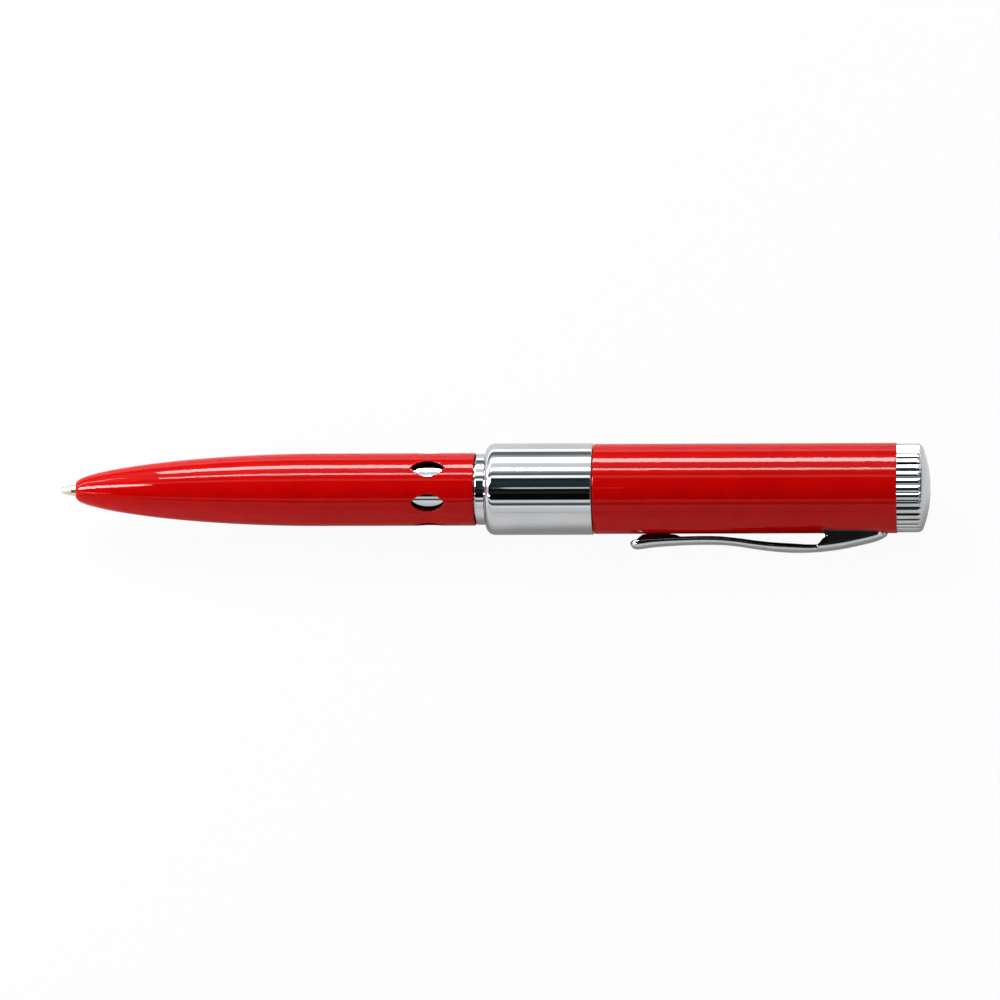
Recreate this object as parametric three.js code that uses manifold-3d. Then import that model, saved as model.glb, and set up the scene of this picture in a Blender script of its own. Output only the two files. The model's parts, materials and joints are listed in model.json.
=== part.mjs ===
// A twist-action ballpoint pen with a USB flash drive under its pull-off cap.
//
// Every size is in millimetres. A station is a distance along the pen from the writing tip
// towards the cap, which is +X. The pen lies on a desk at z = 0, on the round of its collar and
// on the crest of its clip, and the origin is the point of the desk under the collar's middle.
// The pen is drawn with its clip towards -Y and is rolled about its own axis as the last step.

import * as THREE from "three";
import { mergeVertices } from "three/addons/utils/BufferGeometryUtils.js";
import Module from "manifold-3d";

const wasm = await Module();
wasm.setup();

// Gaps between pieces
const FIT_GAP = 0.25; // on the radius, between a turning or sliding piece and its seat
const END_GAP = 0.25; // along the pen, between pieces that meet end to end
const SMALL_GAP = 0.12; // round the small parts
const CUT_PAST = 1; // how far a cutter reaches past what it cuts

// Lower half
const TIP_SHOW = 2.5; // how far the refill stands out of the nose
const LOWER_LENGTH = 66.5;
const LOWER_RADIUS = 6.0;
const LOWER_WALL = 0.55;
const NOSE_RADIUS = 1.6; // where the lip's bevel ends and the taper starts
const NOSE_LIP = 0.25; // depth of the lip's bevel
const NOSE_BORE = 1.18;
const NOSE_FACE = 0.06; // width of the flat round the bore
const NOSE_WALL = 1.2; // along the pen, how far the hollow lags behind the taper
const TAPER_LENGTH = 39.8;
const TAPER_POWER = 1.867; // the taper's fullness towards the barrel
const TAPER_ROOT = 0.651; // the taper's bluntness at the nose
const TAPER_CROWDING = 1.8; // draws the taper's facets together at the nose
const TAPER_FACETS = 14;
const HOLLOW_FACETS = 8;
const BARREL_EDGE = 0.25;

// Windows through the lower barrel
const WINDOW_COUNT = 6;
const WINDOW_LENGTH = 5.5;
const WINDOW_WIDTH = 3.2;
const WINDOW_SETBACK = 7.6; // from the barrel's rear edge to the middle of a window
const WINDOW_PHASE = -7; // degrees from the clip's side to the first window

// Collar and neck ring
const NECK_SHOW = 1.25;
const NECK_RADIUS = 5.9;
const NECK_GROOVE_RADIUS = 5.72;
const NECK_EDGE = 0.2;
const COLLAR_LENGTH = 17.7;
const COLLAR_RADIUS = 7.55;
const COLLAR_WALL = 0.75;
const COLLAR_ROUND = 1.5;
const COLLAR_EDGE = 0.15;
const COLLAR_LIP = 1.7; // thickness of the lip that holds the neck ring in
const NECK_FLANGE = 1.3;

// Twist mechanism
const LINER_WALL = 0.45;
const LINER_AHEAD = 11.1; // how far the liner reaches ahead of the windows' middle
const LINER_FLANGE = 1.0;
const CAM_WALL = 0.7;
const CAM_AHEAD = 2.2; // of the drive pin, at rest
const GUIDE_WALL = 0.6;
const GUIDE_AHEAD = 3.6;
const GUIDE_FLANGE = 1.4;
const TWIST = 150; // degrees that the lower barrel turns
const TRAVEL = 4.5; // that this turn draws the refill back
const DRIVE_PIN_RADIUS = 0.55;
const DRIVE_PIN_PLAY = 0.25;
const PLUNGER_GRIP = 5; // length of the refill's tail inside the plunger
const PLUNGER_WEB = 0.7; // solid ahead of and behind the drive pin's hole

// Refill and return spring
const BALL_RADIUS = 0.45;
const BALL_PLAY = 0.06;
const BALL_SHOW = 0.28; // how far the ball stands out of its socket
const BALL_RIM = 0.03; // thickness of the socket's edge
const TIP_RADIUS = 0.95;
const TIP_LENGTH = 8.5;
const TIP_FACE = [0.42, 0.58]; // station and radius at which the tip's face meets its cone
const TIP_SHOULDER = [0.85, 0.74]; // the corner that the cone is rounded through
const TIP_CONE_LENGTH = 2.4;
const TIP_STEP_SETBACK = 3; // from the tip's rear edge to its step up to the tube's radius
const TIP_STEP_LENGTH = 0.8;
const TIP_TAIL = 3; // pressed into the tube
const INK_CHANNEL = 0.3; // radius of the way from the tube to the ball
const REFILL_RADIUS = 1.175;
const REFILL_WALL = 0.2;
const REFILL_SETBACK = 3.0; // from the barrel's rear edge to the refill's tail
const INK_LENGTH = 38;
const EAR_STATION = 26;
const EAR_SPAN = 2.05;
const EAR_LENGTH = 1.2;
const EAR_THICKNESS = 0.5;
const INSERT_SETBACK = 5.5; // from the nose to the insert
const INSERT_LENGTH = 26;
const INSERT_SEAT = 6; // from the insert's front to the spring's seat
const SPRING_CHAMBER = 2.35;
const SPRING_RADIUS = 1.75;
const SPRING_WIRE = 0.19;
const SPRING_TURNS = 11;
const SPRING_STEPS = 8; // for each turn
const SPRING_SIDES = 5;

// Cap
const UPPER_LENGTH = 49.7;
const UPPER_RADIUS = 7.43;
const UPPER_WALL = 0.5;
const UPPER_EDGE = 0.3;
const CAP_GAP = 0.25; // the seam between the collar and the cap
const FINIAL_GAP = 0.12;
const FINIAL_RADIUS = 7.3;
const FINIAL_CHAMFER = 0.35;
const KNURL_LENGTH = 3.6;
const KNURL_RIBS = 36;
const KNURL_DEPTH = 0.27;
const KNURL_RIB_SHARE = 0.72; // of each rib and groove together
const KNURL_STEPS = 4;
const SHOULDER_LENGTH = 0.75;
const SHOULDER_DROP = 0.85;
const CROWN_RISE = 1.13;
const FINIAL_STUD_RADIUS = 2.4;
const FINIAL_STUD_LENGTH = 3.4;
const END_PLUG_LENGTH = 4;

// Pocket clip, measured back from the barrel's rear edge and out from the barrel's surface
const CLIP_END_SETBACK = 1.6;
const CLIP_LENGTH = 42.3;
const CLIP_SHEET = 0.55;
const CLIP_LEAST_DEPTH = 0.66; // of the strip at its tip
const CLIP_CREST = 3.2;
const CLIP_WAIST = 1.94;
const CLIP_DEPTH = 1.35; // from the strip's top to its lower edge
const CLIP_SEAT = 0.7; // how far the root's walls are drawn past the barrel that trims them
const CLIP_WIDTH = 5.2;
const CLIP_NOSE = 9.8; // from the tip to the start of the waist
const CLIP_ROOT = 14.3; // from the crest to the end
const CLIP_FLEX = 4; // degrees that the clip opens
const CLIP_PIN_SETBACK = 3.9; // from the clip's end to the pin that it flexes on
const CLIP_PIN_HEIGHT = 0.6;
const CLIP_PIN_RADIUS = 0.23;
const CLIP_BLOCK_LENGTH = 6.2;
const CLIP_BLOCK_WIDTH = 2.2;
const CLIP_BLOCK_HEIGHT = 1.25;
const CLIP_BLOCK_ROOF = 0.25; // solid over the screw's end
const CLIP_BLOCK_SLOPE = [1.2, 0.5]; // length and drop of the slope at the block's front
const CLIP_BLOCK_HEEL = 0.95; // the block's height at its rear, over the pin
const CLIP_BLOCK_COVER = 0.4; // solid behind the pin
const CLIP_RINGS = 44; // rings of the strip
const CLIP_CROWDING = 0.6; // draws the rings together at both ends
const FOOT_SETBACK = 0.9; // from the clip's tip to its pressed foot
const FOOT_LENGTH = 8.2;
const FOOT_SOLE = 4.3;
const FOOT_WIDTH = 2.2;
const CLIP_SCREW_RADIUS = 0.8;
const CLIP_SCREW_HEAD = 1.4;
const CLIP_SCREW_HEAD_DEPTH = 0.7;
const SADDLE_LENGTH = 5;
const SADDLE_THICKNESS = 0.5;
const SADDLE_CLEARANCE = 0.44; // from the bore to the screw's head, past the plate

// USB drive
const PLUG_WIDTH = 12.0;
const PLUG_HEIGHT = 4.5;
const PLUG_CORNER = 0.8;
const PLUG_SHEET = 0.3;
const PLUG_SHOW = 12;
const PLUG_HELD = 3.3; // length of the plug's shell inside the carrier
const PLUG_WINDOW = 2.2;
const PLUG_WINDOW_SETBACK = 6.3;
const PLUG_WINDOW_PITCH = 5.4;
const SPIGOT_LENGTH = 5.6; // of the carrier, out of the collar into the cap
const SPIGOT_RADIUS = 6.68;
const CARRIER_WALL = 1.2; // closing the carrier behind the board
const RING_SECTION = 0.38; // the friction ring's round section
const RING_SIDES = 6;
const RING_PROUD = 0.1; // how far the ring stands above the spigot
const BOARD_WIDTH = 10.4;
const BOARD_THICKNESS = 0.8;
const TONGUE_HEIGHT = 1.7;
const CONTACT_WIDTH = 1.0;
const CONTACT_THICKNESS = 0.2;
const CONTACT_PLACES = [-3.5, -1.0, 1.0, 3.5];
const POWER_CONTACT_SETBACK = 1.3; // from the plug's mouth to the two outer contacts
const DATA_CONTACT_SETBACK = 2.3;
const CONTACT_TAIL = 2; // length that lies on the board
const CONTACT_BOW = 0.25; // how far the blade bows up near the mouth
const CONTACT_BOW_LENGTH = 4;
const CONTROLLER_SIZE = 4.9;
const CONTROLLER_HEIGHT = 0.8;
const CONTROLLER_SETBACK = 3; // from the plug's shell
const MEMORY_LENGTH = 9;
const MEMORY_WIDTH = 8;
const MEMORY_HEIGHT = 0.9;
const CRYSTAL_LENGTH = 2.5;
const CRYSTAL_WIDTH = 3.2;
const CRYSTAL_HEIGHT = 0.7;
const CRYSTAL_SETBACK = 0.5; // from the board's front edge

// Facets round the pen
const SHELL_FACETS = 60;
const TUBE_FACETS = 40;
const INSIDE_FACETS = 32;
const SMALL_FACETS = 16;
const KNURL_FACETS = 48;

// Stations that follow from the lengths
const barrelFront = TIP_SHOW;
const barrelRear = barrelFront + LOWER_LENGTH;
const neckFront = barrelRear + END_GAP;
const neckGroove = neckFront + NECK_SHOW;
const collarFront = neckGroove + END_GAP;
const collarRear = collarFront + COLLAR_LENGTH;
const upperFront = collarRear + CAP_GAP;
const upperRear = upperFront + UPPER_LENGTH;
const finialFront = upperRear + FINIAL_GAP;
const knurlRear = finialFront + KNURL_LENGTH;
const crownEdge = knurlRear + SHOULDER_LENGTH;
const crownApex = crownEdge + CROWN_RISE;

const windowStation = barrelRear - WINDOW_SETBACK;
const neckFlangeFront = collarFront + COLLAR_LIP + END_GAP;
const neckRear = neckFlangeFront + NECK_FLANGE;
const linerFlangeFront = neckRear + END_GAP;
const linerRear = linerFlangeFront + LINER_FLANGE;
const guideFlangeFront = linerRear + END_GAP;
const guideRear = guideFlangeFront + GUIDE_FLANGE;
const carrierFront = guideRear + END_GAP;
const carrierRear = collarRear + SPIGOT_LENGTH;
const plugMouth = carrierRear + PLUG_SHOW;
const plugRear = carrierRear - PLUG_HELD;

const refillTail = barrelRear - REFILL_SETBACK;
const drivePinHole = DRIVE_PIN_RADIUS + SMALL_GAP;
const drivePinStation = refillTail + FIT_GAP + PLUNGER_WEB + drivePinHole;
const plungerRear = drivePinStation + drivePinHole + PLUNGER_WEB;
const plungerFront = refillTail - PLUNGER_GRIP;
const camSlotRadius = DRIVE_PIN_RADIUS + DRIVE_PIN_PLAY;
const insertFront = barrelFront + INSERT_SETBACK;
const springSeat = insertFront + INSERT_SEAT;
const linerFront = windowStation - LINER_AHEAD;
const camFront = drivePinStation - CAM_AHEAD;

const clipEnd = upperRear - CLIP_END_SETBACK;
const clipTip = clipEnd - CLIP_LENGTH;
const clipPinStation = clipEnd - CLIP_PIN_SETBACK;
const clipPinRadial = UPPER_RADIUS + CLIP_PIN_HEIGHT;
const clipBlockRear = clipPinStation + CLIP_PIN_RADIUS + CLIP_BLOCK_COVER;
const clipBlockFront = clipBlockRear - CLIP_BLOCK_LENGTH;
const clipScrewStation = (clipBlockFront + clipPinStation) / 2;
const clipScrewEnd = UPPER_RADIUS + CLIP_BLOCK_HEIGHT - CLIP_BLOCK_ROOF;

// Radii that follow from the shells
const linerRadius = LOWER_RADIUS - LOWER_WALL - FIT_GAP;
const linerBore = linerRadius - LINER_WALL;
const camRadius = linerBore - FIT_GAP;
const camBore = camRadius - CAM_WALL;
const guideRadius = camBore - FIT_GAP;
const guideBore = guideRadius - GUIDE_WALL;
const plungerRadius = guideBore - FIT_GAP;
const collarBore = COLLAR_RADIUS - COLLAR_WALL;
const flangeRadius = collarBore - FIT_GAP;
const upperBore = UPPER_RADIUS - UPPER_WALL;
const boardTop = -CONTACT_THICKNESS - SMALL_GAP;

// Finishes
const finish = (color, roughness, metalness) => ({ color, roughness, metalness });
const RED_LACQUER = finish(0xb90503, 0.12, 0.2);
const CHROME = finish(0xdfe3e6, 0.06, 1.0);
const TIP_METAL = finish(0xc9c0a8, 0.25, 1.0);
const BRASS = finish(0xb5954f, 0.3, 1.0);
const SPRING_STEEL = finish(0x9a9ca0, 0.3, 1.0);
const PLUG_STEEL = finish(0xc4c7ca, 0.25, 1.0);
const GOLD_PLATE = finish(0xd9b04a, 0.2, 1.0);
const WHITE_PLASTIC = finish(0xe8e8e4, 0.5, 0.0);
const BLACK_PLASTIC = finish(0x18181a, 0.5, 0.0);
const BLACK_RUBBER = finish(0x101010, 0.8, 0.0);
const BOARD_GREEN = finish(0x1d5a34, 0.45, 0.0);
const INK_BLUE = finish(0x10205a, 0.4, 0.0);

// Turns a closed geometry into a solid that can be joined and cut.
function solidFrom(geometry) {
  const bare = new THREE.BufferGeometry();
  bare.setAttribute("position", geometry.getAttribute("position"));
  if (geometry.index) bare.setIndex(geometry.index);
  const merged = mergeVertices(bare, 1e-5);
  const place = merged.getAttribute("position");
  const corner = (i) => new THREE.Vector3().fromBufferAttribute(place, i);
  const triangles = [];
  let volume = 0;
  for (let i = 0; i < merged.index.count; i += 3) {
    const [a, b, c] = [0, 1, 2].map((k) => merged.index.getX(i + k));
    if (a === b || b === c || c === a) continue;
    triangles.push([a, b, c]);
    volume += corner(a).dot(corner(b).cross(corner(c)));
  }
  if (volume < 0) triangles.forEach((triangle) => triangle.reverse());
  const mesh = new wasm.Mesh({
    numProp: 3,
    vertProperties: new Float32Array(place.array),
    triVerts: new Uint32Array(triangles.flat()),
  });
  return new wasm.Manifold(mesh);
}

function geometryFrom(solid) {
  const mesh = solid.getMesh();
  const geometry = new THREE.BufferGeometry();
  geometry.setAttribute("position", new THREE.BufferAttribute(mesh.vertProperties, 3));
  geometry.setIndex(new THREE.BufferAttribute(mesh.triVerts, 1));
  geometry.computeVertexNormals();
  return geometry;
}

function piece(name, solid, look) {
  const material = new THREE.MeshStandardMaterial(look);
  const mesh = new THREE.Mesh(geometryFrom(solid), material);
  mesh.name = name;
  return mesh;
}

// The quarter ellipse from one point to another that is tangent to both legs of their corner.
function roundedCorner(from, corner, to, steps) {
  const points = [];
  for (let i = 0; i <= steps; i++) {
    const angle = (i / steps) * (Math.PI / 2);
    const a = 1 - Math.sin(angle);
    const b = 1 - Math.cos(angle);
    points.push([0, 1].map((k) => corner[k] + (from[k] - corner[k]) * a + (to[k] - corner[k]) * b));
  }
  return points;
}

// Revolves an outline of [station, radius] points round the pen's axis. An outline that starts
// off the axis is closed on itself.
function revolve(outline, facets = SHELL_FACETS) {
  const onAxis = outline[0][1] === 0;
  const closed = onAxis ? outline : [...outline, outline[0]];
  const points = closed.map(([station, radius]) => new THREE.Vector2(radius, station));
  const geometry = new THREE.LatheGeometry(points, facets);
  geometry.rotateZ(-Math.PI / 2);
  return solidFrom(geometry);
}

function tube(front, rear, bore, radius, facets = TUBE_FACETS) {
  return revolve([[front, bore], [front, radius], [rear, radius], [rear, bore]], facets);
}

function rod(front, rear, radius, facets = SMALL_FACETS) {
  return revolve([[front, 0], [front, radius], [rear, radius], [rear, 0]], facets);
}

function box(x, y, z) {
  const middle = ([low, high]) => (low + high) / 2;
  const geometry = new THREE.BoxGeometry(x[1] - x[0], y[1] - y[0], z[1] - z[0]);
  geometry.translate(middle(x), middle(y), middle(z));
  return solidFrom(geometry);
}

// Carries a flat shape along the pen: the shape's x is +Y and its y is +Z.
function prismAlong(shape, front, rear, curveSegments = 6) {
  const geometry = new THREE.ExtrudeGeometry(shape, {
    depth: rear - front,
    bevelEnabled: false,
    curveSegments,
  });
  const turn = new THREE.Matrix4().makeBasis(
    new THREE.Vector3(0, 1, 0),
    new THREE.Vector3(0, 0, 1),
    new THREE.Vector3(1, 0, 0),
  );
  geometry.applyMatrix4(turn);
  geometry.translate(front, 0, 0);
  return solidFrom(geometry);
}

// Carries a shape outwards from the axis on the clip's side: its x is +X and its y is +Z.
function prismOutward(shape, inner, outer, curveSegments = 6) {
  const geometry = new THREE.ExtrudeGeometry(shape, {
    depth: outer - inner,
    bevelEnabled: false,
    curveSegments,
  });
  const turn = new THREE.Matrix4().makeBasis(
    new THREE.Vector3(1, 0, 0),
    new THREE.Vector3(0, 0, 1),
    new THREE.Vector3(0, -1, 0),
  );
  geometry.applyMatrix4(turn);
  geometry.translate(0, -inner, 0);
  return solidFrom(geometry);
}

// A rod that stands across the pen's axis, along +Z, from one height to another.
function crossRod(station, y, low, high, radius, facets = SMALL_FACETS) {
  const geometry = new THREE.CylinderGeometry(radius, radius, high - low, facets);
  geometry.rotateX(Math.PI / 2);
  geometry.translate(station, y, (low + high) / 2);
  return solidFrom(geometry);
}

// A rod that points outwards on the clip's side.
function outwardRod(station, inner, outer, radius, facets = SMALL_FACETS) {
  const geometry = new THREE.CylinderGeometry(radius, radius, outer - inner, facets);
  geometry.translate(station, -(inner + outer) / 2, 0);
  return solidFrom(geometry);
}

function roundedRectangle(width, height, corner) {
  const x = width / 2;
  const y = height / 2;
  const shape = new THREE.Shape();
  shape.moveTo(x, -y + corner);
  shape.absarc(x - corner, y - corner, corner, 0, Math.PI / 2);
  shape.absarc(-x + corner, y - corner, corner, Math.PI / 2, Math.PI);
  shape.absarc(-x + corner, -y + corner, corner, Math.PI, Math.PI * 1.5);
  shape.absarc(x - corner, -y + corner, corner, Math.PI * 1.5, Math.PI * 2);
  return shape;
}

// The lower barrel's outside: steep at the nose and level where it meets the barrel.
function taperRadius(station) {
  const start = barrelFront + NOSE_LIP;
  const t = THREE.MathUtils.clamp((station - start) / TAPER_LENGTH, 0, 1);
  const fullness = (1 - (1 - t) ** TAPER_POWER) ** TAPER_ROOT;
  return NOSE_RADIUS + (LOWER_RADIUS - NOSE_RADIUS) * fullness;
}

// Stations along the taper, closer together at the nose where it curves most.
function taperStations(from, to, steps) {
  return Array.from({ length: steps + 1 }, (_, i) => {
    return from + (to - from) * (i / steps) ** TAPER_CROWDING;
  });
}

function hollowRadius(station) {
  return Math.max(NOSE_BORE, taperRadius(station - NOSE_WALL) - LOWER_WALL);
}

function lowerBarrel() {
  const lipRear = barrelFront + NOSE_LIP;
  const taperRear = lipRear + TAPER_LENGTH;
  const lip = [
    [barrelFront, NOSE_BORE],
    [barrelFront, NOSE_BORE + NOSE_FACE],
    [lipRear, NOSE_RADIUS],
  ];
  const outside = taperStations(lipRear, taperRear, TAPER_FACETS)
    .slice(1)
    .map((s) => [s, taperRadius(s)]);
  const edge = roundedCorner(
    [barrelRear - BARREL_EDGE, LOWER_RADIUS],
    [barrelRear, LOWER_RADIUS],
    [barrelRear, LOWER_RADIUS - BARREL_EDGE],
    2,
  );
  const hollowRear = taperRear + NOSE_WALL;
  const inside = taperStations(lipRear + NOSE_WALL, hollowRear, HOLLOW_FACETS)
    .map((s) => [s, hollowRadius(s)])
    .reverse();
  const bore = LOWER_RADIUS - LOWER_WALL;
  let barrel = revolve([...lip, ...outside, ...edge, [barrelRear, bore], ...inside], TUBE_FACETS);
  for (let i = 0; i < WINDOW_COUNT; i++) {
    const angle = WINDOW_PHASE + (i * 360) / WINDOW_COUNT;
    barrel = barrel.subtract(windowCutter().rotate([angle, 0, 0]));
  }
  return barrel;
}

// The outline where two equal circles cross, as long and as wide as a window.
function windowCutter() {
  const a = WINDOW_LENGTH / 2;
  const b = WINDOW_WIDTH / 2;
  const radius = (a * a + b * b) / (2 * b);
  const half = Math.asin(a / radius);
  const quarter = Math.PI / 2;
  const lens = new THREE.Shape();
  lens.moveTo(-a, 0);
  lens.absarc(0, b - radius, radius, quarter + half, quarter - half, true);
  lens.absarc(0, radius - b, radius, half - quarter, -half - quarter, true);
  const cutter = prismOutward(lens, linerRadius, LOWER_RADIUS + LOWER_WALL, 5);
  return cutter.translate([windowStation, 0, 0]);
}

function noseInsert() {
  const rear = insertFront + INSERT_LENGTH;
  const outside = taperStations(insertFront, rear, 5).map((s) => [s, hollowRadius(s) - FIT_GAP]);
  const guide = REFILL_RADIUS + FIT_GAP;
  const outline = [
    [insertFront, guide],
    ...outside,
    [rear, SPRING_CHAMBER],
    [springSeat, SPRING_CHAMBER],
    [springSeat, guide],
  ];
  return revolve(outline, INSIDE_FACETS);
}

// The chrome tube behind the windows. Its flange turns between the neck ring and the guide tube.
function windowLiner() {
  const outline = [
    [linerFront, linerBore],
    [linerFront, linerRadius],
    [linerFlangeFront, linerRadius],
    [linerFlangeFront, flangeRadius],
    [linerRear, flangeRadius],
    [linerRear, linerBore],
  ];
  return revolve(outline, TUBE_FACETS);
}

class Helix extends THREE.Curve {
  constructor(radius, start, advance, turns, phase = 0) {
    super();
    Object.assign(this, { radius, start, advance, turns, phase });
  }

  getPoint(t, target = new THREE.Vector3()) {
    const angle = this.phase + t * this.turns * Math.PI * 2;
    const y = this.radius * Math.cos(angle);
    const z = this.radius * Math.sin(angle);
    return target.set(this.start + t * this.advance, y, z);
  }
}

function sweptRod(curve, radius, steps, sides) {
  const section = new THREE.Shape();
  for (let i = 0; i <= sides; i++) {
    const angle = (i / sides) * Math.PI * 2;
    const at = [radius * Math.cos(angle), radius * Math.sin(angle)];
    if (i === 0) section.moveTo(...at);
    else section.lineTo(...at);
  }
  const geometry = new THREE.ExtrudeGeometry(section, {
    steps,
    extrudePath: curve,
    bevelEnabled: false,
  });
  return solidFrom(geometry);
}

// The sleeve whose two helical slots move the drive pin. It turns with the barrel, so the pin
// passes along each slot the other way round.
function camSleeve() {
  let sleeve = tube(camFront, linerRear, camBore, camRadius);
  const turn = -TWIST / 360;
  const pathRadius = (camBore + camRadius) / 2;
  for (const side of [0.5, 1.5]) {
    const path = new Helix(pathRadius, drivePinStation, TRAVEL, turn, side * Math.PI);
    const ends = [
      [drivePinStation, side * 180],
      [drivePinStation + TRAVEL, side * 180 - TWIST],
    ];
    sleeve = sleeve.subtract(sweptRod(path, camSlotRadius, 12, 8));
    for (const [station, angle] of ends) {
      const end = crossRod(station, 0, camBore - CAM_WALL, camRadius + CAM_WALL, camSlotRadius, 8);
      sleeve = sleeve.subtract(end.rotate([angle - 90, 0, 0]));
    }
  }
  return sleeve;
}

// The fixed tube that keeps the drive pin from turning, with its flange clamped in the collar.
function guideTube() {
  const outline = [
    [drivePinStation - GUIDE_AHEAD, guideBore],
    [drivePinStation - GUIDE_AHEAD, guideRadius],
    [guideFlangeFront, guideRadius],
    [guideFlangeFront, flangeRadius],
    [guideRear, flangeRadius],
    [guideRear, guideBore],
  ];
  const front = drivePinStation - camSlotRadius;
  const rear = drivePinStation + TRAVEL + camSlotRadius;
  const across = [-guideRadius - CUT_PAST, guideRadius + CUT_PAST];
  const slot = box([front, rear], [-camSlotRadius, camSlotRadius], across);
  return revolve(outline, TUBE_FACETS).subtract(slot);
}

function plunger() {
  const grip = REFILL_RADIUS + SMALL_GAP;
  const outline = [
    [refillTail + FIT_GAP, 0],
    [refillTail + FIT_GAP, grip],
    [plungerFront, grip],
    [plungerFront, plungerRadius],
    [plungerRear, plungerRadius],
    [plungerRear, 0],
  ];
  const reach = plungerRadius + CUT_PAST;
  const hole = crossRod(drivePinStation, 0, -reach, reach, drivePinHole);
  return revolve(outline, TUBE_FACETS).subtract(hole);
}

function drivePin() {
  const reach = camRadius - SMALL_GAP;
  return crossRod(drivePinStation, 0, -reach, reach, DRIVE_PIN_RADIUS);
}

function writingBall() {
  const geometry = new THREE.SphereGeometry(BALL_RADIUS, SMALL_FACETS, SMALL_FACETS / 2);
  geometry.translate(BALL_RADIUS, 0, 0);
  return solidFrom(geometry);
}

// The tip's cone, its ball socket, the ink channel and the tail that is pressed into the tube.
function refillTip() {
  const socket = BALL_RADIUS + BALL_PLAY;
  const tail = REFILL_RADIUS - REFILL_WALL - SMALL_GAP;
  const from = Math.acos((BALL_RADIUS - BALL_SHOW) / socket);
  const to = Math.PI - Math.asin(INK_CHANNEL / socket);
  const socketWall = [0, 0.25, 0.5, 0.75, 1].map((share) => {
    const angle = from + (to - from) * share;
    return [BALL_RADIUS - socket * Math.cos(angle), socket * Math.sin(angle)];
  });
  const stepFront = TIP_LENGTH - TIP_STEP_SETBACK;
  const outline = [
    [BALL_SHOW, socketWall[0][1] + BALL_RIM],
    ...roundedCorner(TIP_FACE, TIP_SHOULDER, [TIP_CONE_LENGTH, TIP_RADIUS], 4),
    [stepFront, TIP_RADIUS],
    [stepFront + TIP_STEP_LENGTH, REFILL_RADIUS],
    [TIP_LENGTH, REFILL_RADIUS],
    [TIP_LENGTH, tail],
    [TIP_LENGTH + TIP_TAIL, tail],
    [TIP_LENGTH + TIP_TAIL, INK_CHANNEL],
    ...socketWall.reverse(),
  ];
  return revolve(outline, SMALL_FACETS);
}

// The ink tube, with two crimped ears that the return spring pushes on.
function refillTube() {
  const front = TIP_LENGTH + SMALL_GAP;
  const bore = REFILL_RADIUS - REFILL_WALL;
  const body = tube(front, refillTail, bore, REFILL_RADIUS, SMALL_FACETS);
  const along = [EAR_STATION, EAR_STATION + EAR_LENGTH];
  const across = [-EAR_THICKNESS / 2, EAR_THICKNESS / 2];
  const ears = box(along, [-EAR_SPAN, EAR_SPAN], across).subtract(
    rod(along[0] - CUT_PAST, along[1] + CUT_PAST, REFILL_RADIUS - REFILL_WALL / 2),
  );
  return body.add(ears);
}

function ink() {
  const front = TIP_LENGTH + TIP_TAIL + FIT_GAP;
  return rod(front, front + INK_LENGTH, REFILL_RADIUS - REFILL_WALL - SMALL_GAP);
}

function returnSpring() {
  const front = springSeat + SPRING_WIRE + SMALL_GAP;
  const rear = EAR_STATION - SPRING_WIRE - SMALL_GAP;
  const path = new Helix(SPRING_RADIUS, front, rear - front, SPRING_TURNS);
  return sweptRod(path, SPRING_WIRE, SPRING_TURNS * SPRING_STEPS, SPRING_SIDES);
}

function neckRing() {
  const bore = linerRadius + FIT_GAP;
  const outline = [
    [neckFront, bore],
    ...roundedCorner(
      [neckFront, NECK_RADIUS - NECK_EDGE],
      [neckFront, NECK_RADIUS],
      [neckFront + NECK_EDGE, NECK_RADIUS],
      1,
    ),
    ...roundedCorner(
      [neckGroove - NECK_EDGE, NECK_RADIUS],
      [neckGroove, NECK_RADIUS],
      [neckGroove, NECK_GROOVE_RADIUS],
      2,
    ),
    [neckFlangeFront, NECK_GROOVE_RADIUS],
    [neckFlangeFront, flangeRadius],
    [neckRear, flangeRadius],
    [neckRear, bore],
  ];
  return revolve(outline, TUBE_FACETS);
}

function centreCollar() {
  const lipBore = NECK_GROOVE_RADIUS + FIT_GAP;
  const outline = [
    [collarFront, lipBore],
    ...roundedCorner(
      [collarFront, COLLAR_RADIUS - COLLAR_ROUND],
      [collarFront, COLLAR_RADIUS],
      [collarFront + COLLAR_ROUND, COLLAR_RADIUS],
      3,
    ),
    [collarRear - COLLAR_EDGE, COLLAR_RADIUS],
    [collarRear, COLLAR_RADIUS - COLLAR_EDGE],
    [collarRear, collarBore],
    [collarFront + COLLAR_LIP, collarBore],
    [collarFront + COLLAR_LIP, lipBore],
  ];
  return revolve(outline, SHELL_FACETS);
}

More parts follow.
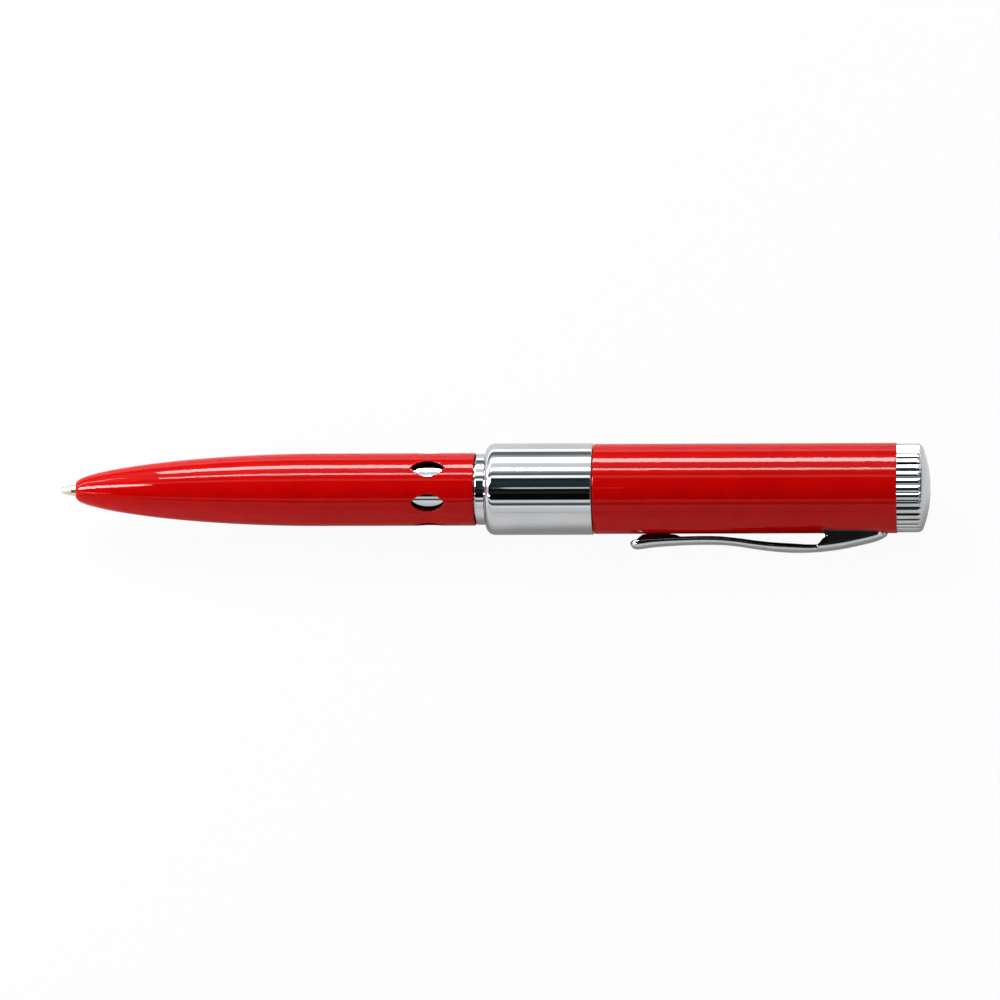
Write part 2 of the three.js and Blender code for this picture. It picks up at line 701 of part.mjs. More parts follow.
// The drive's carrier before it is split: a plug in the collar, a spigot for the cap with a
// groove for the friction ring, a pocket for the board and a slot for the plug's shell.
function wholeCarrier() {
  const ringStation = upperFront + RING_SECTION + END_GAP;
  const groove = RING_SECTION + SMALL_GAP;
  const groovePath = SPIGOT_RADIUS + RING_PROUD - 2 * RING_SECTION - SMALL_GAP;
  const outline = [
    [carrierFront, 0],
    [carrierFront, flangeRadius],
    [collarRear, flangeRadius],
    [collarRear, SPIGOT_RADIUS],
    [ringStation - groove, SPIGOT_RADIUS],
    [ringStation - groove, groovePath],
    [ringStation + groove, groovePath],
    [ringStation + groove, SPIGOT_RADIUS],
    [carrierRear - END_GAP, SPIGOT_RADIUS],
    [carrierRear, SPIGOT_RADIUS - END_GAP],
    [carrierRear, 0],
  ];
  const pocketFront = carrierFront + CARRIER_WALL;
  const halfPocket = BOARD_WIDTH / 2 + SMALL_GAP;
  const floor = boardTop - BOARD_THICKNESS - MEMORY_HEIGHT - 3 * SMALL_GAP;
  const roof = boardTop + CONTROLLER_HEIGHT + 2 * SMALL_GAP;
  const pocket = box([pocketFront, carrierRear + CUT_PAST], [-halfPocket, halfPocket], [floor, roof]);
  const play = 2 * SMALL_GAP;
  const slot = prismAlong(
    roundedRectangle(PLUG_WIDTH + play, PLUG_HEIGHT + play, PLUG_CORNER + SMALL_GAP),
    plugRear - SMALL_GAP,
    carrierRear + CUT_PAST,
  );
  return revolve(outline, TUBE_FACETS).subtract(pocket).subtract(slot);
}

function carrierHalf(side) {
  const far = 2 * SPIGOT_RADIUS;
  const keep = side > 0 ? [SMALL_GAP / 2, far] : [-far, -SMALL_GAP / 2];
  const half = box([carrierFront - CUT_PAST, carrierRear + CUT_PAST], [-far, far], keep);
  return wholeCarrier().intersect(half);
}

function frictionRing() {
  const station = upperFront + RING_SECTION + END_GAP;
  const path = SPIGOT_RADIUS + RING_PROUD - RING_SECTION;
  const section = Array.from({ length: RING_SIDES }, (_, i) => {
    const angle = (i / RING_SIDES) * Math.PI * 2;
    return [station + RING_SECTION * Math.cos(angle), path + RING_SECTION * Math.sin(angle)];
  });
  return revolve(section, TUBE_FACETS);
}

function circuitBoard() {
  const along = [carrierFront + CARRIER_WALL + SMALL_GAP, plugRear - SMALL_GAP];
  const half = BOARD_WIDTH / 2;
  return box(along, [-half, half], [boardTop - BOARD_THICKNESS, boardTop]);
}

// A chip that stands on z = 0 with its middle on the axis.
function chip(length, width, height) {
  return box([-length / 2, length / 2], [-width / 2, width / 2], [0, height]);
}

function plugShell() {
  const outer = roundedRectangle(PLUG_WIDTH, PLUG_HEIGHT, PLUG_CORNER);
  const inner = roundedRectangle(
    PLUG_WIDTH - 2 * PLUG_SHEET,
    PLUG_HEIGHT - 2 * PLUG_SHEET,
    PLUG_CORNER - PLUG_SHEET,
  );
  outer.holes.push(inner);
  const middle = plugMouth - PLUG_WINDOW_SETBACK;
  const half = PLUG_WINDOW / 2;
  let shell = prismAlong(outer, plugRear, plugMouth, 4);
  for (const side of [-1, 1]) {
    const y = (side * PLUG_WINDOW_PITCH) / 2;
    const across = [y - half, y + half];
    const window = box([middle - half, middle + half], across, [-PLUG_HEIGHT, PLUG_HEIGHT]);
    shell = shell.subtract(window);
  }
  return shell;
}

// The plastic tongue, with a groove for each contact in its upper face.
function plugTongue() {
  const width = PLUG_WIDTH - 2 * (PLUG_SHEET + SMALL_GAP);
  const bottom = -PLUG_HEIGHT / 2 + PLUG_SHEET + SMALL_GAP;
  const section = roundedRectangle(width, TONGUE_HEIGHT, PLUG_CORNER - PLUG_SHEET);
  let tongue = prismAlong(section, plugRear + SMALL_GAP, plugMouth - END_GAP, 3);
  tongue = tongue.translate([0, 0, bottom + TONGUE_HEIGHT / 2]);
  for (const y of CONTACT_PLACES) {
    const reach = CONTACT_WIDTH / 2 + SMALL_GAP;
    const end = plugMouth - contactSetback(y) + SMALL_GAP;
    const groove = box([plugRear - CUT_PAST, end], [y - reach, y + reach], [boardTop, CUT_PAST]);
    tongue = tongue.subtract(groove);
  }
  return tongue;
}

function contactSetback(place) {
  const outermost = Math.max(...CONTACT_PLACES);
  return Math.abs(place) < outermost ? DATA_CONTACT_SETBACK : POWER_CONTACT_SETBACK;
}

// A flat spring contact: its tail lies on the board and its blade bows up near the mouth.
function contact(place) {
  const rear = plugRear - CONTACT_TAIL;
  const front = plugMouth - contactSetback(place);
  const crest = front - CONTACT_BOW_LENGTH / 2;
  const blade = new THREE.Shape();
  blade.moveTo(rear, -CONTACT_THICKNESS);
  blade.lineTo(front, -CONTACT_THICKNESS);
  blade.lineTo(front, 0);
  blade.quadraticCurveTo(crest, CONTACT_BOW * 2, front - CONTACT_BOW_LENGTH, 0);
  blade.lineTo(rear, 0);
  const geometry = new THREE.ExtrudeGeometry(blade, {
    depth: CONTACT_WIDTH,
    bevelEnabled: false,
    curveSegments: 6,
  });
  geometry.rotateX(Math.PI / 2);
  geometry.translate(0, CONTACT_WIDTH / 2, 0);
  return solidFrom(geometry);
}

function upperBarrel() {
  const outline = [
    [upperFront, upperBore],
    ...roundedCorner(
      [upperFront, UPPER_RADIUS - UPPER_EDGE],
      [upperFront, UPPER_RADIUS],
      [upperFront + UPPER_EDGE, UPPER_RADIUS],
      2,
    ),
    [upperRear, UPPER_RADIUS],
    [upperRear, upperBore],
  ];
  const hole = outwardRod(
    clipScrewStation,
    upperBore - CUT_PAST,
    UPPER_RADIUS + CUT_PAST,
    CLIP_SCREW_RADIUS + SMALL_GAP,
  );
  return revolve(outline, SHELL_FACETS).subtract(hole);
}

// The knob's outline has one rounded rib and one groove for each turn of its knurl.
function knurlShape() {
  const shape = new THREE.Shape();
  const corners = KNURL_RIBS * KNURL_STEPS;
  for (let i = 0; i < corners; i++) {
    const phase = (i % KNURL_STEPS) / KNURL_STEPS;
    const height = Math.sin(Math.PI * Math.min(1, phase / KNURL_RIB_SHARE));
    const radius = FINIAL_RADIUS - KNURL_DEPTH * (1 - Math.sqrt(height));
    const angle = (i / corners) * Math.PI * 2;
    const at = [radius * Math.cos(angle), radius * Math.sin(angle)];
    if (i === 0) shape.moveTo(...at);
    else shape.lineTo(...at);
  }
  shape.closePath();
  return shape;
}

// The knurled knob: a round shoulder, a shallow domed crown and a stud for the end plug.
function finial() {
  const studFront = finialFront - FINIAL_STUD_LENGTH;
  const rimRadius = FINIAL_RADIUS - SHOULDER_DROP;
  const domeRadius = (rimRadius ** 2 + CROWN_RISE ** 2) / (2 * CROWN_RISE);
  const dome = [0.75, 0.5, 0.25, 0].map((share) => {
    const radius = rimRadius * share;
    return [crownApex - domeRadius + Math.sqrt(domeRadius ** 2 - radius ** 2), radius];
  });
  const outline = [
    [studFront, 0],
    [studFront, FINIAL_STUD_RADIUS],
    [finialFront, FINIAL_STUD_RADIUS],
    [finialFront, FINIAL_RADIUS - FINIAL_CHAMFER],
    [finialFront + FINIAL_CHAMFER, FINIAL_RADIUS],
    ...roundedCorner(
      [knurlRear, FINIAL_RADIUS],
      [crownEdge, FINIAL_RADIUS],
      [crownEdge, rimRadius],
      4,
    ),
    ...dome,
  ];
  const knurled = prismAlong(knurlShape(), studFront - CUT_PAST, crownApex + CUT_PAST);
  return revolve(outline, KNURL_FACETS).intersect(knurled);
}

function endPlug() {
  const front = upperRear - END_PLUG_LENGTH;
  return tube(front, upperRear, FINIAL_STUD_RADIUS + FIT_GAP, upperBore - FIT_GAP);
}

// Clip outlines: heights above the barrel's surface against distance from the clip's tip, as
// smooth curves through a few points.
function curveThrough(points) {
  const curve = new THREE.SplineCurve(points.map(([x, y]) => new THREE.Vector2(x, y)));
  const samples = curve.getPoints(120);
  return (x) => {
    const after = Math.max(1, samples.findIndex((point) => point.x >= x));
    const [a, b] = [samples[after - 1], samples[after]];
    const t = THREE.MathUtils.clamp((x - a.x) / (b.x - a.x || 1), 0, 1);
    return a.y + (b.y - a.y) * t;
  };
}

function straightThrough(points) {
  return (x) => {
    const found = points.findIndex(([place]) => place >= x);
    const after = Math.max(1, found < 0 ? points.length - 1 : found);
    const [a, b] = [points[after - 1], points[after]];
    return a[1] + (b[1] - a[1]) * THREE.MathUtils.clamp((x - a[0]) / (b[0] - a[0]), 0, 1);
  };
}

// Places along the clip: in the nose they count from the tip, in the root from the end.
const inNose = (share) => CLIP_NOSE * share;
const inRoot = (share) => CLIP_LENGTH - CLIP_ROOT * share;
const rise = (share) => CLIP_WAIST + (CLIP_CREST - CLIP_WAIST) * share;

const clipTop = curveThrough([
  [inNose(0), rise(0.2)],
  [inNose(0.11), rise(0.58)],
  [inNose(0.36), rise(0.33)],
  [inNose(1), CLIP_WAIST],
  [inRoot(1.87), CLIP_WAIST],
  [inRoot(1.57), rise(0.54)],
  [inRoot(1.27), rise(0.88)],
  [inRoot(1), CLIP_CREST],
  [inRoot(0.78), rise(0.9)],
  [inRoot(0.56), rise(0.6)],
  [inRoot(0.34), rise(0.09)],
  [inRoot(0.11), rise(-0.43)],
  [inRoot(0.02), rise(-0.86)],
  [inRoot(-0.01), rise(-1.14)],
]);

// How far the lower edge has gone from the strip's own depth down to the barrel: the root's
// walls start in a hollow step ahead of the crest's foot and end just short of the clip's end.
const rootWall = straightThrough([
  [inRoot(0.81), 0],
  [inRoot(0.73), 0.4],
  [inRoot(0.71), 1],
  [inRoot(0.09), 1],
  [inRoot(0.07), 0],
]);

function clipEdge(x) {
  const thin = Math.min(1, 0.5 + x / inNose(0.2));
  return THREE.MathUtils.lerp(clipTop(x) - CLIP_DEPTH * thin, -CLIP_SEAT, rootWall(x));
}

const clipHalfWidth = curveThrough(
  [
    [inNose(0), 0.38],
    [inNose(0.08), 0.63],
    [inNose(0.25), 0.77],
    [inNose(1), 0.79],
    [inRoot(1.6), 0.85],
    [inRoot(0.9), 1],
    [inRoot(0.65), 1],
    [inRoot(0.37), 0.85],
    [inRoot(0.13), 0.69],
    [inRoot(-0.01), 0.5],
  ].map(([x, share]) => [x, (share * CLIP_WIDTH) / 2]),
);

// Half of the clip's section, from its lower edge over the crowned roof: how far out it lies as
// a share of the half width, and how far below the top.
const CLIP_CROWN = [
  [1, 0.55],
  [0.94, 0.28],
  [0.75, 0.12],
  [0.4, 0.03],
  [0, 0],
];

// The corners of the channel that stand for its hollow: the inner wall, the hollow's roof and
// the lower edge.
const INNER_WALL = 0.5;
const HOLLOW_ROOF = 1;
const LOWER_EDGE = 2;

// The clip is a channel carried along the barrel, drawn as a straight prism first. Each ring of
// the prism is then set to the clip's width, top and lower edge at its place.
function clipStrip() {
  const outside = [[1, LOWER_EDGE], ...CLIP_CROWN];
  const mirrored = outside.slice(0, -1).reverse().map(([share, drop]) => [-share, drop]);
  const inside = [
    [-INNER_WALL, LOWER_EDGE],
    [-INNER_WALL, HOLLOW_ROOF],
    [INNER_WALL, HOLLOW_ROOF],
    [INNER_WALL, LOWER_EDGE],
  ];
  const section = [...outside, ...mirrored, ...inside].map((at) => new THREE.Vector2(...at));
  const geometry = new THREE.ExtrudeGeometry(new THREE.Shape(section), {
    depth: 1,
    steps: CLIP_RINGS,
    bevelEnabled: false,
  });
  const place = geometry.getAttribute("position");
  for (let i = 0; i < place.count; i++) {
    const share = place.getX(i);
    const drop = place.getY(i);
    const turn = place.getZ(i) * Math.PI * 2;
    const x = (CLIP_LENGTH * (turn - CLIP_CROWDING * Math.sin(turn))) / (Math.PI * 2);
    const half = clipHalfWidth(x);
    const top = clipTop(x);
    const isInner = Math.abs(share) === INNER_WALL;
    const side = isInner ? Math.sign(share) * (half - CLIP_SHEET) : share * half;
    const edge = Math.min(clipEdge(x), top - CLIP_LEAST_DEPTH);
    const height = drop === LOWER_EDGE ? edge : top - drop * CLIP_SHEET;
    place.setXYZ(i, clipTip + x, -(UPPER_RADIUS + height), side);
  }
  return solidFrom(geometry);
}

// The foot pressed out of the strip, which bears on the barrel.
function clipFoot() {
  const from = clipTip + FOOT_SETBACK;
  const to = from + FOOT_LENGTH;
  const slope = (FOOT_LENGTH - FOOT_SOLE) / 2;
  const roof = (x) => -(UPPER_RADIUS + clipTop(x - clipTip) - CLIP_SHEET / 2);
  const side = new THREE.Shape();
  side.moveTo(from, roof(from));
  side.lineTo(from + slope, -UPPER_RADIUS + CUT_PAST);
  side.lineTo(to - slope, -UPPER_RADIUS + CUT_PAST);
  side.lineTo(to, roof(to));
  const geometry = new THREE.ExtrudeGeometry(side, { depth: FOOT_WIDTH, bevelEnabled: false });
  geometry.translate(0, 0, -FOOT_WIDTH / 2);
  return solidFrom(geometry);
}

// Turns a solid about the clip's pin: a positive angle opens the clip.
function aboutClipPin(solid, degrees) {
  return solid
    .translate([-clipPinStation, clipPinRadial, 0])
    .rotate([0, 0, degrees])
    .translate([clipPinStation, -clipPinRadial, 0]);
}

// The clip keeps its gap to the barrel when it is closed and when it is fully open.
function pocketClip() {
  const along = [clipTip - CLIP_CREST, clipEnd + CLIP_CREST];
  const barrel = rod(...along, UPPER_RADIUS + FIT_GAP, SHELL_FACETS);
  const nearBarrel = rod(...along, UPPER_RADIUS + SMALL_GAP, SHELL_FACETS);
  const barrelWhenOpen = aboutClipPin(nearBarrel, -CLIP_FLEX);
  const hole = clipPinHole(CLIP_WIDTH);
  return clipStrip().add(clipFoot()).subtract(barrel).subtract(barrelWhenOpen).subtract(hole);
}

function clipPinHole(reach) {
  return crossRod(clipPinStation, -clipPinRadial, -reach, reach, CLIP_PIN_RADIUS + SMALL_GAP);
}

// The block under the clip's root, which carries the pin and takes the screw from inside.
function clipBlock() {
  const bottom = -UPPER_RADIUS + CUT_PAST;
  const top = -(UPPER_RADIUS + CLIP_BLOCK_HEIGHT);
  const [slopeLength, slopeDrop] = CLIP_BLOCK_SLOPE;
  const side = new THREE.Shape();
  side.moveTo(clipBlockFront, bottom);
  side.lineTo(clipBlockRear, bottom);
  side.lineTo(clipBlockRear, -(UPPER_RADIUS + CLIP_BLOCK_HEEL));
  side.lineTo(clipPinStation - slopeLength, top);
  side.lineTo(clipBlockFront + slopeLength, top);
  side.lineTo(clipBlockFront, top + slopeDrop);
  const geometry = new THREE.ExtrudeGeometry(side, {
    depth: CLIP_BLOCK_WIDTH,
    bevelEnabled: false,
  });
  geometry.translate(0, 0, -CLIP_BLOCK_WIDTH / 2);
  const along = [clipBlockFront - CUT_PAST, clipBlockRear + CUT_PAST];
  const barrel = rod(...along, UPPER_RADIUS + SMALL_GAP, SHELL_FACETS);
  const screwHole = outwardRod(
    clipScrewStation,
    UPPER_RADIUS - CUT_PAST,
    clipScrewEnd,
    CLIP_SCREW_RADIUS + SMALL_GAP,
  );
  const pinHole = clipPinHole(CLIP_BLOCK_WIDTH);
  return solidFrom(geometry).subtract(barrel).subtract(screwHole).subtract(pinHole);
}

function clipPin() {
  const reach = clipHalfWidth(clipPinStation - clipTip) + SMALL_GAP;
  return crossRod(clipPinStation, -clipPinRadial, -reach, reach, CLIP_PIN_RADIUS);
}

function clipScrew() {
  const headOuter = upperBore - SADDLE_THICKNESS - SADDLE_CLEARANCE;
  const headInner = headOuter - CLIP_SCREW_HEAD_DEPTH;
  const head = outwardRod(clipScrewStation, headInner, headOuter, CLIP_SCREW_HEAD);
  const shank = outwardRod(
    clipScrewStation,
    (headInner + headOuter) / 2,
    clipScrewEnd - SMALL_GAP,
    CLIP_SCREW_RADIUS,
  );
  return head.add(shank);
}

// The curved plate inside the barrel that spreads the screw's pull.
function clipSaddle() {
  const half = SADDLE_LENGTH / 2;
  const outer = upperBore - SMALL_GAP;
  const ring = tube(
    clipScrewStation - half,
    clipScrewStation + half,
    outer - SADDLE_THICKNESS,
    outer,
    SHELL_FACETS,
  );
  const segment = box(
    [clipScrewStation - half - CUT_PAST, clipScrewStation + half + CUT_PAST],
    [-2 * outer, -outer / 2],
    [-half, half],
  );
  const hole = outwardRod(clipScrewStation, 0, 2 * outer, CLIP_SCREW_RADIUS + SMALL_GAP);
  return ring.intersect(segment).subtract(hole);
}

// Assembly: one group for each set of pieces that moves as one.
function lowerHalf() {
  const group = new THREE.Group();
  group.add(
    piece("lower_barrel", lowerBarrel(), RED_LACQUER),
    piece("nose_insert", noseInsert(), WHITE_PLASTIC),
    piece("return_spring", returnSpring(), SPRING_STEEL),
    piece("window_liner", windowLiner(), CHROME),
    piece("cam_sleeve", camSleeve(), BRASS),
  );
  return group;
}

function refill() {
  const group = new THREE.Group();
  group.add(
    piece("refill_tip", refillTip(), TIP_METAL),
    piece("refill_tube", refillTube(), TIP_METAL),
    piece("ink", ink(), INK_BLUE),
    piece("plunger", plunger(), WHITE_PLASTIC),
    piece("drive_pin", drivePin(), SPRING_STEEL),
  );
  return group;
}

function ball() {
  const group = new THREE.Group();
  group.add(piece("writing_ball", writingBall(), SPRING_STEEL));
  return group;
}

function drive() {
  const group = new THREE.Group();
  group.add(
    piece("upper_carrier", carrierHalf(1), BLACK_PLASTIC),
    piece("lower_carrier", carrierHalf(-1), BLACK_PLASTIC),
    piece("friction_ring", frictionRing(), BLACK_RUBBER),
    piece("circuit_board", circuitBoard(), BOARD_GREEN),
    piece("usb_plug_shell", plugShell(), PLUG_STEEL),
    piece("usb_plug_tongue", plugTongue(), WHITE_PLASTIC),
  );
  const boardFront = carrierFront + CARRIER_WALL + SMALL_GAP;
  const controller = piece(
    "controller_chip",
    chip(CONTROLLER_SIZE, CONTROLLER_SIZE, CONTROLLER_HEIGHT),
    BLACK_PLASTIC,
  );
  const controllerStation = plugRear - CONTROLLER_SETBACK - CONTROLLER_SIZE / 2;
  controller.position.set(controllerStation, 0, boardTop + SMALL_GAP);
  const crystal = piece(
    "crystal_can",
    chip(CRYSTAL_LENGTH, CRYSTAL_WIDTH, CRYSTAL_HEIGHT),
    PLUG_STEEL,
  );
  const crystalStation = boardFront + CRYSTAL_SETBACK + CRYSTAL_LENGTH / 2;
  crystal.position.set(crystalStation, 0, boardTop + SMALL_GAP);
  const memory = piece(
    "memory_chip",
    chip(MEMORY_LENGTH, MEMORY_WIDTH, MEMORY_HEIGHT),
    BLACK_PLASTIC,
  );
  memory.position.set(
    (boardFront + plugRear) / 2,
    0,
    boardTop - BOARD_THICKNESS - SMALL_GAP - MEMORY_HEIGHT,
  );
  group.add(controller, crystal, memory);
  CONTACT_PLACES.forEach((place, i) => {
    const blade = piece(`usb_contact_${i + 1}`, contact(place), GOLD_PLATE);
    blade.position.y = place;
    group.add(blade);
  });
  return group;
}

function middle(roll) {
  const group = new THREE.Group();
  const collar = piece("centre_collar", centreCollar(), CHROME);
  collar.rotation.x = -roll + Math.PI / SHELL_FACETS;
  group.add(
    collar,
    piece("neck_ring", neckRing(), CHROME),
    piece("guide_tube", guideTube(), BRASS),
    drive(),
  );
  return group;
}

function cap() {
  const group = new THREE.Group();
  group.add(
    piece("upper_barrel", upperBarrel(), RED_LACQUER),
    piece("finial", finial(), CHROME),
    piece("end_plug", endPlug(), BRASS),
    piece("clip_block", clipBlock(), SPRING_STEEL),
    piece("clip_pin", clipPin(), SPRING_STEEL),
    piece("clip_screw", clipScrew(), SPRING_STEEL),
    piece("clip_saddle", clipSaddle(), SPRING_STEEL),
    piece("pocket_clip", pocketClip(), CHROME),
  );
  return group;
}

// The roll at which the lowest facet of the collar and the clip's crest touch the desk together.
function restingRoll() {
  const rest = COLLAR_RADIUS * Math.cos(Math.PI / SHELL_FACETS);
  const lowest = (roll) => {
    let depth = 0;
    for (let x = 0; x <= CLIP_LENGTH; x += 0.25) {
      for (const [share, drop] of CLIP_CROWN) {
        const out = UPPER_RADIUS + clipTop(x) - drop * CLIP_SHEET;
        const side = clipHalfWidth(x) * share;
        depth = Math.max(depth, out * Math.sin(roll) + side * Math.cos(roll));
      }
    }
    return depth;
  };
  let low = 0;
  let high = Math.PI / 2;
  for (let i = 0; i < 40; i++) {
    const middleRoll = (low + high) / 2;
    if (lowest(middleRoll) < rest) low = middleRoll;
    else high = middleRoll;
  }
  return low;
}

const roll = restingRoll();
const pen = new THREE.Group();
pen.add(ball(), refill(), lowerHalf(), middle(roll), cap());
pen.rotation.x = roll;
pen.position.x = -(collarFront + collarRear) / 2;
pen.position.z = COLLAR_RADIUS * Math.cos(Math.PI / SHELL_FACETS);

const scene = new THREE.Group();
scene.add(pen);
export default scene;
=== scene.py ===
# %% [markdown]
# # A red twist pen with a flash drive under its cap
# The pen is already built, piece by piece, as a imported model. This lesson loads that model as a
# fixed frame and gives it its looks: smooth lacquered barrels, mirror-bright chrome, a small
# nickel tip and, under the cap, a plug that fits a computer's port.

# %% Load the frame
import json
import math

import bmesh
import bpy
import numpy as np
from mathutils import Matrix, Vector

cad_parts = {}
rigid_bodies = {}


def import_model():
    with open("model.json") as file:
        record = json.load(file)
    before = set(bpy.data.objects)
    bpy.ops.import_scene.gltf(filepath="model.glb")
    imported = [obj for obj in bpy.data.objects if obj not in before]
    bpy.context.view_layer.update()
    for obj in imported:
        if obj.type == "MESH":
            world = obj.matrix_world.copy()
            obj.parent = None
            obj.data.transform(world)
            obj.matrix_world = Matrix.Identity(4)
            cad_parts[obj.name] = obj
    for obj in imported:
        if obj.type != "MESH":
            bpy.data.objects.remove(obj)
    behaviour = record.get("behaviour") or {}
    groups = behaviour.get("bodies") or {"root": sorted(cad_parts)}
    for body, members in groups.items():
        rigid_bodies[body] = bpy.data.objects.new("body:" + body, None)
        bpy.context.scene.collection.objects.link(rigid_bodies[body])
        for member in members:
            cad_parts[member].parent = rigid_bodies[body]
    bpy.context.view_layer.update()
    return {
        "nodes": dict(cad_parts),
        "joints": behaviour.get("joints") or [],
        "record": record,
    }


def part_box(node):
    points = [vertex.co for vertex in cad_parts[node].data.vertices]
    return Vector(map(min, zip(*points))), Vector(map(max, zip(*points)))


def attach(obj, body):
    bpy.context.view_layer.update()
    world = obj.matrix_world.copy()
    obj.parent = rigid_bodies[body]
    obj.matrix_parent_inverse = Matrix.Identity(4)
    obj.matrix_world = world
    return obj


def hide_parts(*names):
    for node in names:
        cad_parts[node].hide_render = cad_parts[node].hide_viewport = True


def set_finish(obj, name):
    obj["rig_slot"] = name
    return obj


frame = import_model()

# %% [markdown]
# ## Where the pen lies
# The pen lies on a desk and is rolled about its own axis until its clip touches the desk too.
# It is easier to think along the pen: how far from the writing tip (the station), how far away
# from the clip, and how far towards the camera. One function turns these three lengths, in
# millimetres, into places in the room. The roll and the height are read from the frame.

# %% Pen directions
joints = {joint["name"]: joint for joint in frame["joints"]}
flex_axis = joints["clip_flex"]["axis"]
ROLL = math.atan2(-flex_axis[1], flex_axis[2])
AXIS_HEIGHT = joints["barrel_twist"]["pos_m"][2]
TIP = np.array([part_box("writing_ball")[0].x, 0.0, AXIS_HEIGHT])
ALONG = np.array([1.0, 0.0, 0.0])
AWAY = np.array([0.0, math.cos(ROLL), math.sin(ROLL)])
FACING = np.array([0.0, -math.sin(ROLL), math.cos(ROLL)])
MM = 0.001


def place(station, away, facing):
    """Room places: the tip plus each length times its own direction."""
    lengths = np.broadcast_arrays(station, away, facing)
    steps = [part[..., None] * way for part, way in zip(lengths, (ALONG, AWAY, FACING))]
    return TIP + MM * sum(steps)


print(f"roll {math.degrees(ROLL):.2f} degrees, axis {AXIS_HEIGHT / MM:.2f} mm above the desk")

# %% [markdown]
# ## From a grid of points to a piece
# Every new piece is a surface worked out as a grid of points: a turned piece is an outline
# carried round the axis, a pressed piece is a section carried along it. The corners of all the
# faces follow from counting, so numpy can write them without a loop. Doubled points at the
# poles are then merged, the faces are turned outwards, and edges sharper than an angle stay crisp.

# %% Grid helper
CRISP = math.radians(38)


def grid_faces(rows, columns, wrap_rows):
    """Face (i, j) joins points (i, j), (i, j+1), (i+1, j+1), (i+1, j); columns always close."""
    last = rows if wrap_rows else rows - 1
    i, j = np.meshgrid(np.arange(last), np.arange(columns), indexing="ij")
    below, beside = (i + 1) % rows, (j + 1) % columns
    corners = [i * columns + j, i * columns + beside, below * columns + beside, below * columns + j]
    return np.stack(corners, -1).reshape(-1, 4)


def new_piece(name, points, faces, crisp=CRISP, inside=None):
    """Merges doubled points, turns the faces outwards and shades smooth between crisp edges. The
    inside is a share for every point, which a finish can read."""
    mesh = bpy.data.meshes.new(name)
    mesh.from_pydata(points.reshape(-1, 3).tolist(), [], faces.tolist())
    if inside is not None:
        share = mesh.attributes.new("inside", "FLOAT", "POINT")
        share.data.foreach_set("value", np.ravel(inside).astype(np.float32))
    shell = bmesh.new()
    shell.from_mesh(mesh)
    bmesh.ops.remove_doubles(shell, verts=shell.verts, dist=MM * 1e-3)
    bmesh.ops.recalc_face_normals(shell, faces=shell.faces)
    shell.to_mesh(mesh)
    open_edges = sum(not edge.is_manifold for edge in shell.edges)
    shell.free()
    mesh.shade_smooth()
    mesh.set_sharp_from_angle(angle=crisp)
    piece = bpy.data.objects.new(name, mesh)
    bpy.context.scene.collection.objects.link(piece)
    print(f"{name}: {len(mesh.polygons)} faces, {open_edges} open edges")
    return piece


def set_in(piece, body, slot, *nodes):
    """The piece rides on a body, takes its finish from a slot and stands for its CAD nodes."""
    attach(piece, body)
    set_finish(piece, slot)
    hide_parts(*nodes)


# %% [markdown]
# ## Rounded outlines
# A lathe tool never leaves a corner perfectly sharp, and on chrome the small round at a corner
# is what catches the light. The helper takes corners as station, radius and round, and puts a
# true arc at each. A guard point just outside each arc keeps the straight parts looking straight.

# %% Outline helper
ARC_STEPS = 6
GUARD = 0.05


def rounded(corners, closed=True):
    """Each corner becomes the arc that touches both of its legs, between two guard points."""
    spots = np.array([corner[:2] for corner in corners], float)
    outline = []
    for i, (here, corner) in enumerate(zip(spots, corners)):
        is_end = not closed and i in (0, len(corners) - 1)
        if is_end or corner[2] == 0:
            outline.append(here)
            continue
        legs = [spots[i - 1] - here, spots[(i + 1) % len(spots)] - here]
        lengths = [np.linalg.norm(leg) for leg in legs]
        before, after = (leg / length for leg, length in zip(legs, lengths))
        half = 0.5 * math.acos(np.clip(before @ after, -1, 1))
        reach = corner[2] / math.tan(half)
        middle = before + after
        centre = here + middle / np.linalg.norm(middle) * corner[2] / math.sin(half)
        start, end = here + before * reach - centre, here + after * reach - centre
        share = np.linspace(0, 1, ARC_STEPS + 1)[:, None]
        sweep = math.pi - 2 * half
        arc = np.sin((1 - share) * sweep) * start + np.sin(share * sweep) * end
        guards = [min(GUARD, 0.3 * (length - reach)) for length in lengths]
        outline.append(here + before * (reach + guards[0]))
        outline.extend(centre + arc / math.sin(sweep))
        outline.append(here + after * (reach + guards[1]))
    return np.array(outline)


TURNED_COLUMNS = 192


def round_the_axis(outline, columns, first=0.0):
    """The outline carried round the axis from a first angle: away is radius times cosine, facing
    radius times sine."""
    angle = first + np.linspace(0, 2 * np.pi, columns, endpoint=False)
    station, radius = outline[:, :1], outline[:, 1:2]
    return place(station, radius * np.cos(angle), radius * np.sin(angle))


def turned(name, outline, closed=True, columns=TURNED_COLUMNS):
    """A piece turned on the lathe; a closed outline is a ring, an open one ends on the axis."""
    points = round_the_axis(outline, columns)
    return new_piece(name, points, grid_faces(len(outline), columns, closed))


# %% [markdown]
# ## The camera
# The picture is taken from far off with a long lens, square to the pen and straight at the side
# of its clip, so the pen shows no taper from distance. The camera stands a little towards the cap.

# %% Camera
CAMERA_DISTANCE = 1.14
FRAME_WIDTH = 0.1650
SENSOR = 36.0
CAMERA_YAW = math.radians(4.6)
CAMERA_TILT = math.radians(-0.172)
AIM_STATION, AIM_AWAY = 72.97, -1.78

back = Vector(math.sin(CAMERA_YAW) * ALONG + math.cos(CAMERA_YAW) * FACING)
level_up = Vector(AWAY)
level_right = level_up.cross(back)
right = math.cos(CAMERA_TILT) * level_right + math.sin(CAMERA_TILT) * level_up
up = back.cross(right)

